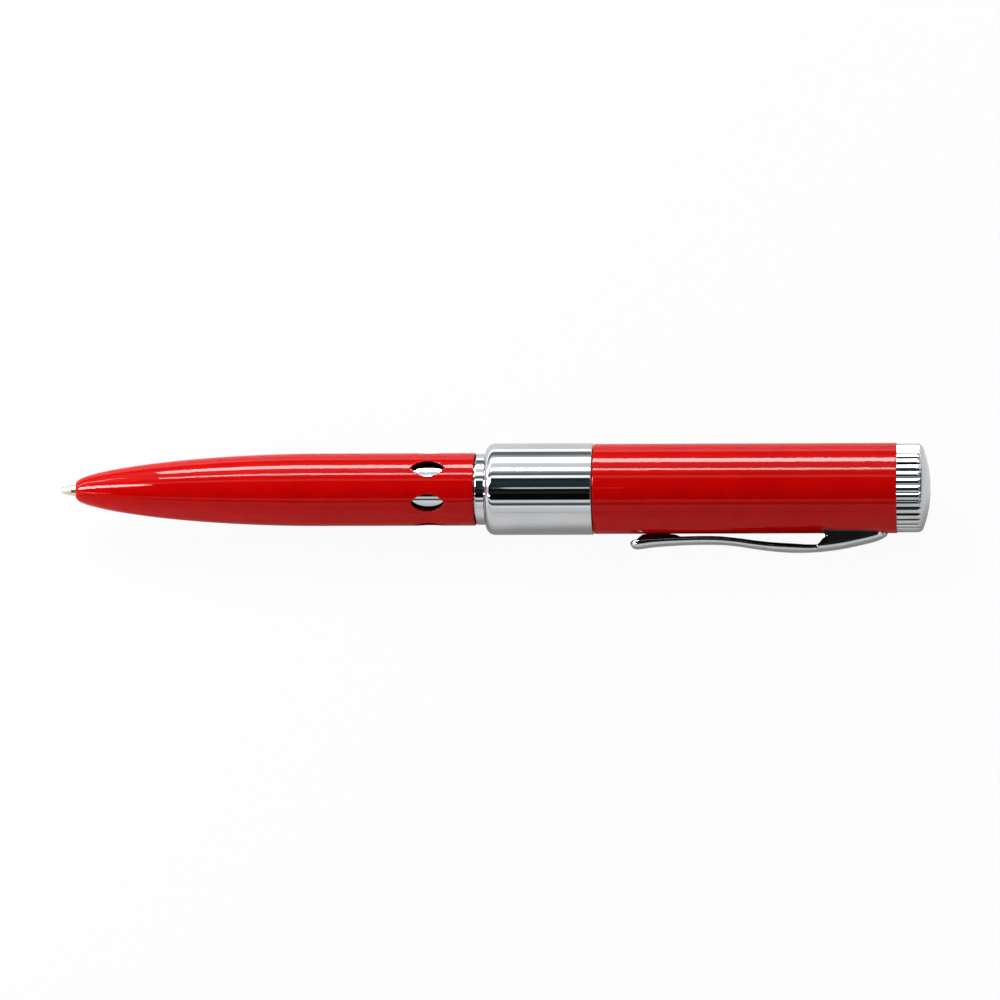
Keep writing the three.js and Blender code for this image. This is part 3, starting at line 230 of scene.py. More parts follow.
camera_data = bpy.data.cameras.new("camera")
camera_data.sensor_width = SENSOR
camera_data.lens = SENSOR * CAMERA_DISTANCE / FRAME_WIDTH
camera_data.clip_start, camera_data.clip_end = 0.05, 20.0
camera = bpy.data.objects.new("camera", camera_data)
aim = Vector(place(AIM_STATION, AIM_AWAY, 0.0))
camera.matrix_world = Matrix.Translation(aim + back * CAMERA_DISTANCE) @ Matrix(
    (right, up, back)
).transposed().to_4x4()
bpy.context.scene.collection.objects.link(camera)
bpy.context.scene.camera = camera
bpy.context.scene.view_settings.view_transform = "Standard"
print(f"lens {camera_data.lens:.0f} mm, camera {camera.location.z:.2f} m above the desk")

# %% [markdown]
# ## The lower barrel
# The lower half is a thin brass tube spun to a nose and lacquered red. Near the collar six
# lens-shaped windows are punched through it, and the paint has drawn up into a soft rim round
# each. Its skin is cut into one part ahead of the windows, one part behind, and a belt of six
# patches. Each patch is a ring of points that runs from the window's rim out to a rectangle.

# %% Lower barrel sizes
BARREL_FRONT, BARREL_REAR = 2.5, 69.0
BARREL_RADIUS, BARREL_BORE = 6.0, 5.45
NOSE_BORE, NOSE_RADIUS, NOSE_LIP = 1.18, 1.6, 0.25
TAPER_LENGTH, TAPER_POWER, TAPER_ROOT = 39.8, 1.867, 0.651
WINDOW_STATION, WINDOW_HALF_LENGTH, WINDOW_HALF_WIDTH = 61.4, 2.75, 1.6
WINDOW_COUNT = 6
WINDOW_PHASE = math.radians(-7)
WINDOW_ROUND = 0.16
BELT_HALF = 4.0
SECTOR_COLUMNS = 28
BELT_ROWS = 14
TAPER_START = BARREL_FRONT + NOSE_LIP
BELT_FRONT, BELT_REAR = WINDOW_STATION - BELT_HALF, WINDOW_STATION + BELT_HALF
FRONT_ROWS, CROWDED_FRONT = 90, 1.7


def taper_radius(station):
    """The nose radius grows to the barrel's as (1 - (1 - t) ^ power) ^ root, t along the taper."""
    t = np.clip((station - TAPER_START) / TAPER_LENGTH, 0, 1)
    fullness = (1 - (1 - t) ** TAPER_POWER) ** TAPER_ROOT
    return NOSE_RADIUS + (BARREL_RADIUS - NOSE_RADIUS) * fullness


front_share = np.linspace(0, 1, FRONT_ROWS) ** CROWDED_FRONT
front_rows = TAPER_START + (BELT_FRONT - TAPER_START) * front_share
print("nose grows from", NOSE_RADIUS, "to", round(float(taper_radius(42.0)), 3), "mm at 42 mm")

# %% [markdown]
# A window is the lens where two equal circles cross. Growing both circles by the same amount
# gives the next line out, so the paint's rounded rim is a stack of such lenses: each a little
# larger and a little higher, along a quarter circle.

# %% Window lines
loop_count = 2 * (SECTOR_COLUMNS + BELT_ROWS)
lens_radius = (WINDOW_HALF_LENGTH**2 + WINDOW_HALF_WIDTH**2) / (2 * WINDOW_HALF_WIDTH)


def lens_line(grow):
    """Along and across places of the lens whose two circles are wider by grow, from its front
    point round by the positive side and back."""
    radius = lens_radius + grow
    centre = lens_radius - WINDOW_HALF_WIDTH
    half = math.acos(centre / radius)
    sweep = np.linspace(-half, half, loop_count // 2, endpoint=False)
    along, across = radius * np.sin(sweep), radius * np.cos(sweep) - centre
    return np.concatenate([along, -along]), np.concatenate([across, -across])


def rectangle_line():
    """The patch's own border, from the middle of its front edge, in steps that match the grid."""
    half_sector = np.pi / WINDOW_COUNT * BARREL_RADIUS
    across = np.linspace(0, half_sector, SECTOR_COLUMNS // 2 + 1)
    along = np.linspace(-BELT_HALF, BELT_HALF, BELT_ROWS + 1)
    front = np.stack([np.full_like(across, -BELT_HALF), across], -1)[:-1]
    side = np.stack([along, np.full_like(along, half_sector)], -1)[:-1]
    rear = np.stack([np.full_like(across, BELT_HALF), across[::-1]], -1)[:-1]
    right_half = np.concatenate([front, side, rear])
    loop = np.concatenate([right_half, -right_half])
    return loop[:, 0], loop[:, 1]


print(f"each window: {2 * WINDOW_HALF_LENGTH} by {2 * WINDOW_HALF_WIDTH} mm, {loop_count} points")

# %% [markdown]
# The belt is now a stack of closed lines for each window: up the cut wall, over the rounded rim,
# and out over the surface to the rectangle. The inside of the tube gets the same lines, so the
# windows have real walls, as thick as the tube.

# %% Belt of windows
SPREAD_ROWS, CROWDED_RIM = 9, 1.4


def belt_lines(grow):
    """Rows of [along, across] lines from a lens that is wider by grow to the rectangle, as
    (rows, points, 2)."""
    near = np.stack(lens_line(grow), -1)
    far = np.stack(rectangle_line(), -1)
    share = (np.linspace(0, 1, SPREAD_ROWS) ** CROWDED_RIM)[:, None, None]
    return near + (far - near) * share


turn = np.linspace(0, np.pi / 2, ARC_STEPS + 1)[:-1]
rim_lines = [np.stack(lens_line(WINDOW_ROUND * (1 - math.cos(a))), -1) for a in turn]
rim_radii = BARREL_RADIUS - WINDOW_ROUND * (1 - np.sin(turn))
outer_lines, inner_lines = belt_lines(WINDOW_ROUND), belt_lines(0.0)[::-1]
wall_lines = np.concatenate([inner_lines, rim_lines, outer_lines])
wall_radii = np.concatenate(
    [np.full(SPREAD_ROWS, BARREL_BORE), rim_radii, np.full(SPREAD_ROWS, BARREL_RADIUS)]
)

first_window = np.pi + WINDOW_PHASE
patch_faces = grid_faces(len(wall_lines), loop_count, False)
patch_points = []
for window in range(WINDOW_COUNT):
    middle = first_window + window * 2 * np.pi / WINDOW_COUNT
    angle = middle + wall_lines[:, :, 1] / BARREL_RADIUS
    radius = wall_radii[:, None]
    station = WINDOW_STATION + wall_lines[:, :, 0]
    patch_points.append(place(station, radius * np.cos(angle), radius * np.sin(angle)))
print("belt:", WINDOW_COUNT * len(patch_faces), "faces round", WINDOW_COUNT, "windows")

# %% [markdown]
# The rest of the tube leaves the belt out, and is turned on the columns that the belt's
# rectangles use: from the belt's inner front edge to the nose, over the lip and back along the
# outside, and one more outline behind the windows.

# %% Lower barrel
LIP_FACE = 0.06
BORE_LAG = 1.2
NOSE_WALL = 0.55
HOLLOW_ROWS = 40

outside = np.stack([front_rows, taper_radius(front_rows)], -1)
hollow = np.linspace(TAPER_START + BORE_LAG, BELT_FRONT, HOLLOW_ROWS)
inner_radius = np.maximum(NOSE_BORE, taper_radius(hollow - BORE_LAG) - NOSE_WALL)
inside = np.stack([hollow, inner_radius], -1)[::-1]
inside[0, 1] = BARREL_BORE
lip = [[BARREL_FRONT + 0.2, NOSE_BORE], [BARREL_FRONT + 0.03, NOSE_BORE],
       [BARREL_FRONT, NOSE_BORE + LIP_FACE], [BARREL_FRONT + 0.03, NOSE_RADIUS - 0.2],
       [BARREL_FRONT + 0.1, NOSE_RADIUS - 0.08]]
front_part = np.concatenate([inside, lip, outside])
rear_part = rounded([
    [BELT_REAR, BARREL_RADIUS, 0], [BARREL_REAR, BARREL_RADIUS, 0.22],
    [BARREL_REAR, BARREL_BORE, 0.1], [BELT_REAR, BARREL_BORE, 0],
], closed=False)

columns = WINDOW_COUNT * SECTOR_COLUMNS
turned_points = [round_the_axis(part, columns, first_window) for part in (front_part, rear_part)]
turned_faces = [grid_faces(len(part), columns, False) for part in (front_part, rear_part)]
barrel_points = [part.reshape(-1, 3) for part in turned_points + patch_points]
barrel_faces = turned_faces + [patch_faces] * WINDOW_COUNT
starts = np.cumsum([0] + [len(part) for part in barrel_points[:-1]])
lower_barrel = new_piece(
    "lower_barrel_skin",
    np.concatenate(barrel_points),
    np.concatenate([faces + start for faces, start in zip(barrel_faces, starts)]),
)
set_in(lower_barrel, "writing_half", "red_lacquer", "lower_barrel")

# %% [markdown]
# A patch's faces are skewed, and on gloss paint even half a degree of error in a normal bends
# a reflection. The true normal of a round tube is known, so it is written to every point that
# lies on the tube's outside.

# %% True normals on the tube
TAPER_DONE = 44.0
REAR_EDGE = 0.25


def straighten_shading(piece, radius, front, rear):
    """A point on the tube between the two stations gets the straight-out direction from the
    axis as its normal; every other point keeps its own."""
    mesh = piece.data
    spots = np.empty(len(mesh.vertices) * 3)
    mesh.vertices.foreach_get("co", spots)
    spots = spots.reshape(-1, 3) - TIP
    outwards = spots - spots[:, :1] * ALONG
    distance = np.linalg.norm(outwards, axis=1)
    on_tube = np.abs(distance - radius * MM) < MM * 1e-3
    on_tube &= (spots[:, 0] > front * MM) & (spots[:, 0] < rear * MM)
    normals = np.where(on_tube[:, None], outwards / np.maximum(distance, 1e-9)[:, None], 0.0)
    mesh.normals_split_custom_set_from_vertices(normals.tolist())
    print(f"{piece.name}: {on_tube.sum()} true normals")


straighten_shading(lower_barrel, BARREL_RADIUS, TAPER_DONE, BARREL_REAR - REAR_EDGE)

# %% [markdown]
# ## The chrome middle
# Behind the windows a plated liner shows, drawn in a little there, so that they look deep. A
# narrow neck ring fills the step up to the collar, and the collar itself is a plain plated tube
# with one generously rounded shoulder. All three are turned, so each is only an outline.

# %% Liner, neck ring and collar
liner = turned("window_liner_tube", rounded([
    [50.3, 4.75, 0], [50.3, 5.2, 0.12], [56.2, 5.2, 0.4], [56.8, 5.05, 0.4],
    [66.0, 5.05, 0.4], [66.6, 5.2, 0.4], [74.25, 5.2, 0], [74.25, 6.55, 0.1],
    [75.25, 6.55, 0.1], [75.25, 4.75, 0],
]))
set_in(liner, "writing_half", "chrome", "window_liner")

neck = turned("neck_ring_turned", rounded([
    [69.2, 5.45, 0.05], [69.2, 5.86, 0.12], [70.7, 5.86, 0.1], [70.7, 5.66, 0.04],
    [72.7, 5.66, 0], [72.7, 6.55, 0.1], [74.0, 6.55, 0.1], [74.0, 5.45, 0],
]))
set_in(neck, "collar", "chrome", "neck_ring")

collar = turned("centre_collar_shell", rounded([
    [70.75, 5.97, 0.05], [70.75, 6.06, 0.0], [70.75, 7.55, 1.45], [88.45, 7.55, 0.14],
    [88.45, 6.8, 0.05], [72.45, 6.8, 0], [72.45, 5.97, 0],
]))
set_in(collar, "collar", "chrome", "centre_collar")

# %% [markdown]
# ## The cap's barrel and its finial
# The upper barrel is a straight lacquered tube. The finial screws into its end: a knob with
# thirty-six rounded ribs for the fingers, which run out on a rounded shoulder under a
# shallow polished dome. The ribs are a wave in the radius round the axis, and the knob is the
# smaller of the turned outline and that wave, so the ribs end by themselves where the shoulder
# falls below them.

# %% Upper barrel
UPPER_FRONT, UPPER_REAR = 88.58, 138.4
UPPER_RADIUS, UPPER_BORE = 7.43, 6.93

upper = turned("upper_barrel_skin", rounded([
    [UPPER_FRONT, UPPER_BORE, 0.08], [UPPER_FRONT, UPPER_RADIUS, 0.2],
    [UPPER_REAR, UPPER_RADIUS, 0.1], [UPPER_REAR, UPPER_BORE, 0],
]))
set_in(upper, "cap", "red_lacquer", "upper_barrel")

# %% Finial
RIB_COUNT = 36
RIB_COLUMNS = 18
RIB_DEPTH = 0.27
RIB_BLUNT = 2.3
RIB_BLEND = 0.03
RIB_TURN = math.radians(3.3)
KNOB_FRONT, KNOB_RADIUS = 138.42, 7.3
RIBBED_ABOVE = 6.9
GRIP_FRONT, GRIP_REAR = 138.9, 141.5
SHANK_FRONT, SHANK_RADIUS = 135.12, 2.4
SHOULDER_STATION, SHOULDER_RADIUS = 142.82, 6.4
APEX_STATION = 143.9
DOME_EDGE, DOME_FIRST = 6.0, 5.8
GRIP_ROWS, DOME_ROWS = 12, 24


def dome_station(radius):
    """A sphere's cap that falls from the apex to the shoulder's rim."""
    rise = APEX_STATION - SHOULDER_STATION
    sphere = (SHOULDER_RADIUS**2 + rise**2) / (2 * rise)
    return APEX_STATION - sphere + np.sqrt(sphere**2 - radius**2)


def smaller(a, b, blend):
    """The smaller of two lengths, with the crease between them rounded over the blend."""
    gap = np.clip((blend + b - a) / (2 * blend), 0, 1)
    return b + (a - b) * gap - blend * gap * (1 - gap)


knob_outline = rounded([
    [KNOB_FRONT, 6.85, 0], [KNOB_FRONT, KNOB_RADIUS, 0.06],
    [142.55, KNOB_RADIUS, 1.1], [SHOULDER_STATION, SHOULDER_RADIUS, 0.06],
    [float(dome_station(DOME_EDGE)), DOME_EDGE, 0],
], closed=False)
grip = np.linspace(GRIP_FRONT, GRIP_REAR, GRIP_ROWS)
shank = [[SHANK_FRONT, 0], [SHANK_FRONT, SHANK_RADIUS], [KNOB_FRONT, SHANK_RADIUS]]
dome_radii = np.linspace(DOME_FIRST, 0, DOME_ROWS)
before_grip = knob_outline[knob_outline[:, 0] < GRIP_FRONT]
after_grip = knob_outline[knob_outline[:, 0] > GRIP_REAR]
outline = np.concatenate([
    shank, before_grip, np.stack([grip, np.full_like(grip, KNOB_RADIUS)], -1), after_grip,
    np.stack([dome_station(dome_radii), dome_radii], -1),
])
angle = np.linspace(0, 2 * np.pi, RIB_COUNT * RIB_COLUMNS, endpoint=False)
phase = np.abs(2 * (((angle + RIB_TURN) * RIB_COUNT / (2 * np.pi)) % 1.0) - 1)
rib = KNOB_RADIUS - RIB_DEPTH * phase**RIB_BLUNT
knob_radius = smaller(outline[:, 1:2], np.broadcast_to(rib, (len(outline), rib.size)), RIB_BLEND)
knob_radius = np.where(outline[:, 1:2] < RIBBED_ABOVE, outline[:, 1:2], knob_radius)
finial = new_piece(
    "finial_knob",
    place(outline[:, :1], knob_radius * np.cos(angle), knob_radius * np.sin(angle)),
    grid_faces(len(outline), angle.size, False),
    crisp=math.radians(60),
)
set_in(finial, "cap", "chrome", "finial")

# %% [markdown]
# ## The pocket clip
# The clip is pressed from one strip of spring steel: a channel with a rounded back, waisted in
# the middle, whose walls grow down to the barrel at its root. Three lines along it say what it
# looks like, as distances from the axis: the back and the wall's edge, which a side view shows,
# and half the width, which it doesn't. A smooth curve through a few places gives each line.

# %% Clip lines
def smooth_line(table):
    """Cubic Hermite curve: between two places, the height bends so that its slope at each is
    the slope of the chord between that place's neighbours."""
    x, y = np.array(table, float).T
    slope = np.gradient(y, x)

    def height(at):
        at = np.clip(at, x[0], x[-1])
        i = np.clip(np.searchsorted(x, at, side="right") - 1, 0, len(x) - 2)
        width = x[i + 1] - x[i]
        t = (at - x[i]) / width
        rise = (3 - 2 * t) * t * t
        leave = t * (1 - t) ** 2 * width * slope[i]
        arrive = t * t * (t - 1) * width * slope[i + 1]
        return y[i] + (y[i + 1] - y[i]) * rise + leave + arrive

    return height


clip_back = smooth_line([
    [94.5, 9.1], [94.7, 9.5], [95.05, 9.86], [95.5, 10.0], [96.2, 9.95], [98, 9.71],
    [101.2, 9.45], [104.3, 9.31], [107.2, 9.27], [110.2, 9.35], [112.3, 9.57], [114.4, 9.9],
    [116.5, 10.21], [118.6, 10.45], [120.6, 10.59], [122.5, 10.63], [125.6, 10.5],
    [128.8, 10.13], [132, 9.5], [134.2, 8.98], [135.4, 8.6], [136.3, 8.15], [136.75, 7.75],
    [136.9, 7.45],
])
clip_edge = smooth_line([
    [94.5, 9.03], [95.0, 8.76], [95.5, 8.52], [96.3, 8.43], [99, 8.26], [103, 8.12],
    [109.9, 8.19], [112.6, 8.54], [115.2, 8.96], [117.9, 9.3], [120.5, 9.47], [123.2, 9.63],
    [125.3, 9.62],
])
clip_half_width = smooth_line([
    [94.5, 0.95], [94.8, 1.35], [95.3, 1.65], [96.5, 1.93], [99, 2.02], [104, 2.06],
    [114, 2.16], [119, 2.5], [122, 2.8], [125, 2.98], [131, 2.98], [133, 2.82], [134.5, 2.52],
    [135.6, 2.27], [136.1, 2.05], [136.5, 1.6], [136.9, 0.8],
])
print("clip: crest", float(clip_back(122.5)), "mm, waist", round(float(clip_back(107.2)), 2), "mm")

# %% [markdown]
# Where the root begins, the walls step down from the strip's own depth to the lacquer, and the
# front of that step is hollowed like a bite. The section at each ring is drawn from the back's
# middle over the rounded flank, down the wall, round its edge and up the inside.

# %% Clip section
CLIP_SHEET, LEAST_WALL = 0.5, 0.06
SHEET_SHARE = 0.6
FLANK_DEPTH, FLANK_SHARE = 1.1, 0.8
FLANK_BLUNT = 2.15
FULLER_STATIONS, FULLER_SHARES = [111, 118, 122, 125.3], [0, 1, 1, 0.4]
FULLER_DEPTH, FULLER_FLANK_SHARE = 0.3, 0.14
WALL_LEAN = 0.045
SEAT_GAP = 0.06
STEP_FRONT, STEP_REAR = 125.35, 125.75
RIM_ROUND, RIM_FADE_LENGTH, RIM_FADE_END, ROOT_RIM_START = 0.08, 8, 112.0, 126.4
LEAST_RIM, ROOT_RIM = 0.08, 0.8
FLANK_STEPS, WALL_STEPS, RIM_STEPS = 14, 13, 5


def wall_edge(station, half):
    """The strip's edge ahead of the root; behind the step, the lacquer's own surface at the
    wall's distance from the pen's middle plane, and a gap."""
    seat = np.sqrt(np.maximum(UPPER_RADIUS**2 - half**2, 0)) + SEAT_GAP
    t = np.clip((station - STEP_FRONT) / (STEP_REAR - STEP_FRONT), 0, 1)
    return clip_edge(station) * (1 - t) + np.minimum(seat, clip_edge(station)) * t


# %% Clip section at each ring
def channel(station):
    """One closed line per station: side and height of every point of the section."""
    back_line, half = clip_back(station)[:, None], clip_half_width(station)[:, None]
    edge = np.minimum(wall_edge(station[:, None], half), back_line - LEAST_WALL)
    depth = back_line - edge
    fuller = np.interp(station, FULLER_STATIONS, FULLER_SHARES)[:, None]
    flank_share = FLANK_SHARE + FULLER_FLANK_SHARE * fuller
    flank = np.minimum(FLANK_DEPTH + FULLER_DEPTH * fuller, flank_share * depth)
    sheet = np.minimum(CLIP_SHEET, SHEET_SHARE * np.minimum(half, depth))
    bow = np.linspace(0, np.pi / 2, FLANK_STEPS)
    drop = np.linspace(0, 1, WALL_STEPS)[1:]
    roll_over = np.linspace(0, np.pi / 2, RIM_STEPS)[1:]
    rim_share = np.clip((RIM_FADE_END - station[:, None]) / RIM_FADE_LENGTH, LEAST_RIM, 1)
    at_root = np.clip(station[:, None] - ROOT_RIM_START, 0, ROOT_RIM)
    rim_share = np.maximum(rim_share, at_root)

    def side_line(half, back_line, flank, inward):
        """A blunt quarter oval over the flank, then the wall, which leans out a little, and a
        quarter circle round its rim."""
        oval_side = half * np.sin(bow) ** (2 / FLANK_BLUNT)
        oval_height = back_line - flank + flank * np.cos(bow) ** (2 / FLANK_BLUNT)
        foot = back_line - flank
        rim = np.minimum(RIM_ROUND, 0.3 * sheet) * rim_share
        wall_height = foot + (edge + rim - foot) * drop
        wall_side = half + WALL_LEAN * (foot - wall_height)
        rim_side = wall_side[:, -1:] - inward * rim * (1 - np.cos(roll_over))
        rim_height = edge + rim * (1 - np.sin(roll_over))
        return (np.concatenate([oval_side, wall_side, rim_side], 1),
                np.concatenate([oval_height, wall_height, rim_height], 1))

    outer_side, outer_height = side_line(half, back_line, flank, 1)
    inner_side, inner_height = side_line(half - sheet, back_line - sheet, flank, -1)
    side = np.concatenate([outer_side, inner_side[:, ::-1]], 1)
    height = np.concatenate([outer_height, inner_height[:, ::-1]], 1)
    return side, height


print("section:", 2 * (FLANK_STEPS + WALL_STEPS + RIM_STEPS - 2), "points on each flank")

# %% [markdown]
# The two flanks mirror each other, so the whole section is one closed line: out over the near
# flank, back inside it, across, out inside the far flank and back over it. The rings close at
# both ends by shrinking to a point.

# %% Pocket clip
BITE_HEIGHTS, BITE_DEPTHS = [6.85, 7.65, 9.4], [0.2, 1.1, 0]
BITE_REACH = 0.9
CLIP_FRONT, CLIP_REAR = 94.5, 136.9
FRONT_CROWD, REAR_CROWD, CROWDING = 1.9, 2.3, 1.5

stations = np.concatenate([
    CLIP_FRONT + FRONT_CROWD * np.linspace(0, 1, 22) ** CROWDING,
    np.linspace(96.6, 125.2, 110), np.linspace(125.3, 125.9, 13), np.linspace(126.0, 134.5, 44),
    CLIP_REAR - REAR_CROWD * np.linspace(1, 0, 30) ** CROWDING,
])
side, height = channel(stations)
half_count = side.shape[1] // 2
near_outer, near_inner = side[:, :half_count], side[:, half_count:]
top_outer, top_inner = height[:, :half_count], height[:, half_count:]
ring_side = np.concatenate([near_outer, near_inner, -near_inner[:, ::-1], -near_outer[:, ::-1]], 1)
ring_height = np.concatenate([top_outer, top_inner, top_inner[:, ::-1], top_outer[:, ::-1]], 1)
bite = np.interp(ring_height, BITE_HEIGHTS, BITE_DEPTHS)
near_step = np.exp(-(((stations[:, None] - STEP_REAR) / BITE_REACH) ** 2))
ring_station = stations[:, None] + bite * near_step * (stations[:, None] > STEP_FRONT)


def capped(rings):
    """Adds, before the first ring and after the last, a ring shrunk to its own middle."""
    ends = [np.broadcast_to(rings[i].mean(0), rings[i].shape)[None] for i in (0, -1)]
    return np.concatenate([ends[0], rings, ends[1]])


clip_rings = capped(place(ring_station, -ring_height, ring_side))
# The inside points are marked, and the chrome colours them dark grey as painted shade.
inner = np.zeros(clip_rings.shape[:2])
inner[:, half_count + 1:-half_count - 1] = 1
clip = new_piece(
    "pocket_clip_pressed",
    clip_rings,
    grid_faces(len(clip_rings), clip_rings.shape[1], False),
    crisp=math.radians(50),
    inside=inner,
)
set_in(clip, "clip", "chrome", "pocket_clip")

# %% [markdown]
# A foot is pressed down out of the strip near its tip. It bears on the lacquer and holds the
# pen in a pocket. It is a closed bulb: a rounded trapezium seen from the side, and seen along
# the pen a keel, wide at the strip and narrow at the sole, so that its sides face the barrel.

# %% Clip foot
FOOT_FRONT, FOOT_REAR = 94.8, 103.2
ROOF_HALF_WIDTH, SOLE_HALF_WIDTH = 1.6, 0.7
ROOF_DEPTH, LEAST_FOOT = 0.45, 0.05
FOOT_BLUNT = 3.2
END_LENGTH, END_SHARE = 0.8, 0.35
FOOT_ROWS, FOOT_COLUMNS = 70, 40
foot_rows = FOOT_FRONT + (FOOT_REAR - FOOT_FRONT) * np.linspace(0, 1, FOOT_ROWS)
sole = smooth_line([
    [94.8, 9.1], [95.3, 8.6], [96.2, 7.75], [96.55, 7.54], [96.9, 7.47], [101.3, 7.47],
    [101.8, 7.53], [102.4, 7.72], [102.8, 7.95], [103.0, 8.2], [103.2, 8.6],
])
round_angle = np.linspace(0, 2 * np.pi, FOOT_COLUMNS, endpoint=False)
cosine, sine = np.cos(round_angle), np.sin(round_angle)
roof = clip_back(foot_rows)[:, None] - ROOF_DEPTH
floor_line = np.minimum(sole(foot_rows)[:, None], roof - LEAST_FOOT)
foot_middle, foot_half = (roof + floor_line) / 2, (roof - floor_line) / 2
up_share = np.sign(cosine) * np.abs(cosine) ** (2 / FOOT_BLUNT)
side_share = np.sign(sine) * np.abs(sine) ** (2 / FOOT_BLUNT)
foot_height = foot_middle + foot_half * up_share
half_width = SOLE_HALF_WIDTH + (ROOF_HALF_WIDTH - SOLE_HALF_WIDTH) * (1 + up_share) / 2
from_end = np.minimum(foot_rows - FOOT_FRONT, FOOT_REAR - foot_rows)
ends = np.minimum(1, from_end / END_LENGTH + END_SHARE)
foot_side = half_width * ends[:, None] * side_share
foot_rings = capped(place(foot_rows[:, None], -foot_height, foot_side))
# Every point of the foot is marked as inside, so the chrome colours the whole foot dark grey:
# painted shade.
foot = new_piece(
    "pocket_clip_foot", foot_rings, grid_faces(len(foot_rings), round_angle.size, False),
    inside=np.ones(foot_rings.shape[:2]),
)
set_in(foot, "clip", "chrome")

# %% [markdown]
# ## The writing tip
# The refill's tip is turned from nickel silver: a cone that is rolled over the ball, a small
# crimp mark on its side, and a step up to the ink tube. The crimp is a shallow dent, pressed
# into the grid where the radius is worked out.

# %% Refill tip and ball
TIP_RADIUS, TIP_SKIN = 0.965, 0.7
DENT_STATION, DENT_DEPTH, DENT_SIZE, DENT_TURN = 2.12, 0.13, 0.19, 0.12
tip_outline = np.concatenate([
    rounded([[0.18, 0.3, 0], [0.18, 0.48, 0.06], [0.45, 0.59, 0.15], [1.05, 0.735, 0.4],
             [1.75, 0.87, 0.6], [2.55, TIP_RADIUS, 0]], closed=False),
    np.stack([np.linspace(2.6, 5.5, 50), np.full(50, TIP_RADIUS)], -1),
    rounded([[5.6, TIP_RADIUS, 0], [6.3, 1.175, 0.1], [8.5, 1.175, 0.05], [8.5, 0.86, 0.02],
             [11.5, 0.86, 0.05], [11.5, 0.3, 0]], closed=False),
])
count = np.arange(len(tip_outline))
halves = np.arange(0, len(tip_outline) - 1, 0.5)
dense, dense_radius = (np.interp(halves, count, line) for line in tip_outline.T)
angle = np.linspace(0, 2 * np.pi, 128, endpoint=False)
from_camera = (angle + np.pi / 2) % (2 * np.pi) - np.pi
around = TIP_RADIUS * (from_camera - DENT_TURN)
spread = ((dense[:, None] - DENT_STATION) ** 2 + around**2) / DENT_SIZE**2
is_skin = dense_radius[:, None] > TIP_SKIN
tip_radius = dense_radius[:, None] - DENT_DEPTH * np.exp(-spread) * is_skin
tip = new_piece(
    "refill_tip_turned",
    place(dense[:, None], tip_radius * np.cos(angle), tip_radius * np.sin(angle)),
    grid_faces(len(dense), angle.size, True),
)
set_in(tip, "refill", "tip_metal", "refill_tip")

BALL_RADIUS = 0.45
ball_turn = np.linspace(0, np.pi, 33)
ball_outline = BALL_RADIUS * np.stack([1 - np.cos(ball_turn), np.sin(ball_turn)], -1)
ball = turned("writing_ball_ground", ball_outline, closed=False, columns=64)
set_in(ball, "ball", "ball_steel", "writing_ball")

# %% [markdown]
# ## The return spring
# The spring round the refill is a wound wire. Its middle line climbs along the pen as it turns,
# and its pitch closes up at both ends, where the coils lie flat. A circle of points is carried
# along it, square to the wire's direction.

# %% Return spring
SPRING_FRONT, SPRING_REAR = 14.3, 25.7
SPRING_RADIUS, WIRE_RADIUS = 1.75, 0.19
COILS, COIL_STEPS, WIRE_COLUMNS = 11, 24, 10
CLOSING = 0.06
wound = np.linspace(0, 1, COIL_STEPS * COILS + 1)
pitch = wound - CLOSING * np.sin(2 * np.pi * wound)
coil_angle = 2 * np.pi * COILS * wound
centre = place(
    SPRING_FRONT + (SPRING_REAR - SPRING_FRONT) * pitch,
    SPRING_RADIUS * np.cos(coil_angle),
    SPRING_RADIUS * np.sin(coil_angle),
)
direction = np.gradient(centre, axis=0)
direction /= np.linalg.norm(direction, axis=1)[:, None]
outward = np.cos(coil_angle)[:, None] * AWAY + np.sin(coil_angle)[:, None] * FACING
across = np.cross(direction, outward)
wire_turn = np.linspace(0, 2 * np.pi, WIRE_COLUMNS, endpoint=False)[None, :, None]
wire = centre[:, None] + MM * WIRE_RADIUS * (
    np.cos(wire_turn) * outward[:, None] + np.sin(wire_turn) * across[:, None]
)
wire_faces = grid_faces(len(wire) + 2, WIRE_COLUMNS, False)
spring = new_piece("return_spring_wound", capped(wire), wire_faces)
set_in(spring, "writing_half", "plain_steel", "return_spring")

# %% [markdown]
# ## The plug under the cap
# The plug's shell is folded from thin sheet round a plastic tongue, with two square holes in
# each broad side for the port's springs. The shell is a rounded rectangle carried along the
# pen. Its columns are laid so that they meet the holes' edges, the faces inside the holes are
# left out, and Solidify then gives the sheet its thickness inwards.

# %% Plug shell
PLUG_REAR, PLUG_MOUTH = 90.75, 106.05
PLUG_HALF_WIDTH, PLUG_HALF_HEIGHT, PLUG_CORNER = 6.0, 2.25, 0.7
HOLE_INNER, HOLE_OUTER = 1.6, 3.8
HOLE_REAR, HOLE_FRONT = 98.65, 100.85
SHEET, SHEET_EDGE = 0.3, 0.04
MOUTH_LENGTH, MOUTH_DRAW = 0.3, 0.012

flat_end = PLUG_HALF_WIDTH - PLUG_CORNER
flat = [-flat_end, -HOLE_OUTER, -HOLE_INNER, 0.0, HOLE_INNER, HOLE_OUTER, flat_end]
top_x = np.unique(np.concatenate([np.linspace(a, b, 5) for a, b in zip(flat[:-1], flat[1:])]))
bend = np.linspace(0, np.pi / 2, 9)[1:-1]
side_y = np.linspace(PLUG_HALF_HEIGHT - PLUG_CORNER, -PLUG_HALF_HEIGHT + PLUG_CORNER, 7)
corner_x = flat_end + PLUG_CORNER * np.sin(bend)
corner_y = PLUG_HALF_HEIGHT - PLUG_CORNER + PLUG_CORNER * np.cos(bend)
half_x = np.concatenate([top_x, corner_x, np.full(7, PLUG_HALF_WIDTH), corner_x[::-1]])
half_y = np.concatenate([np.full(top_x.size, PLUG_HALF_HEIGHT), corner_y, side_y,
                         -corner_y[::-1]])
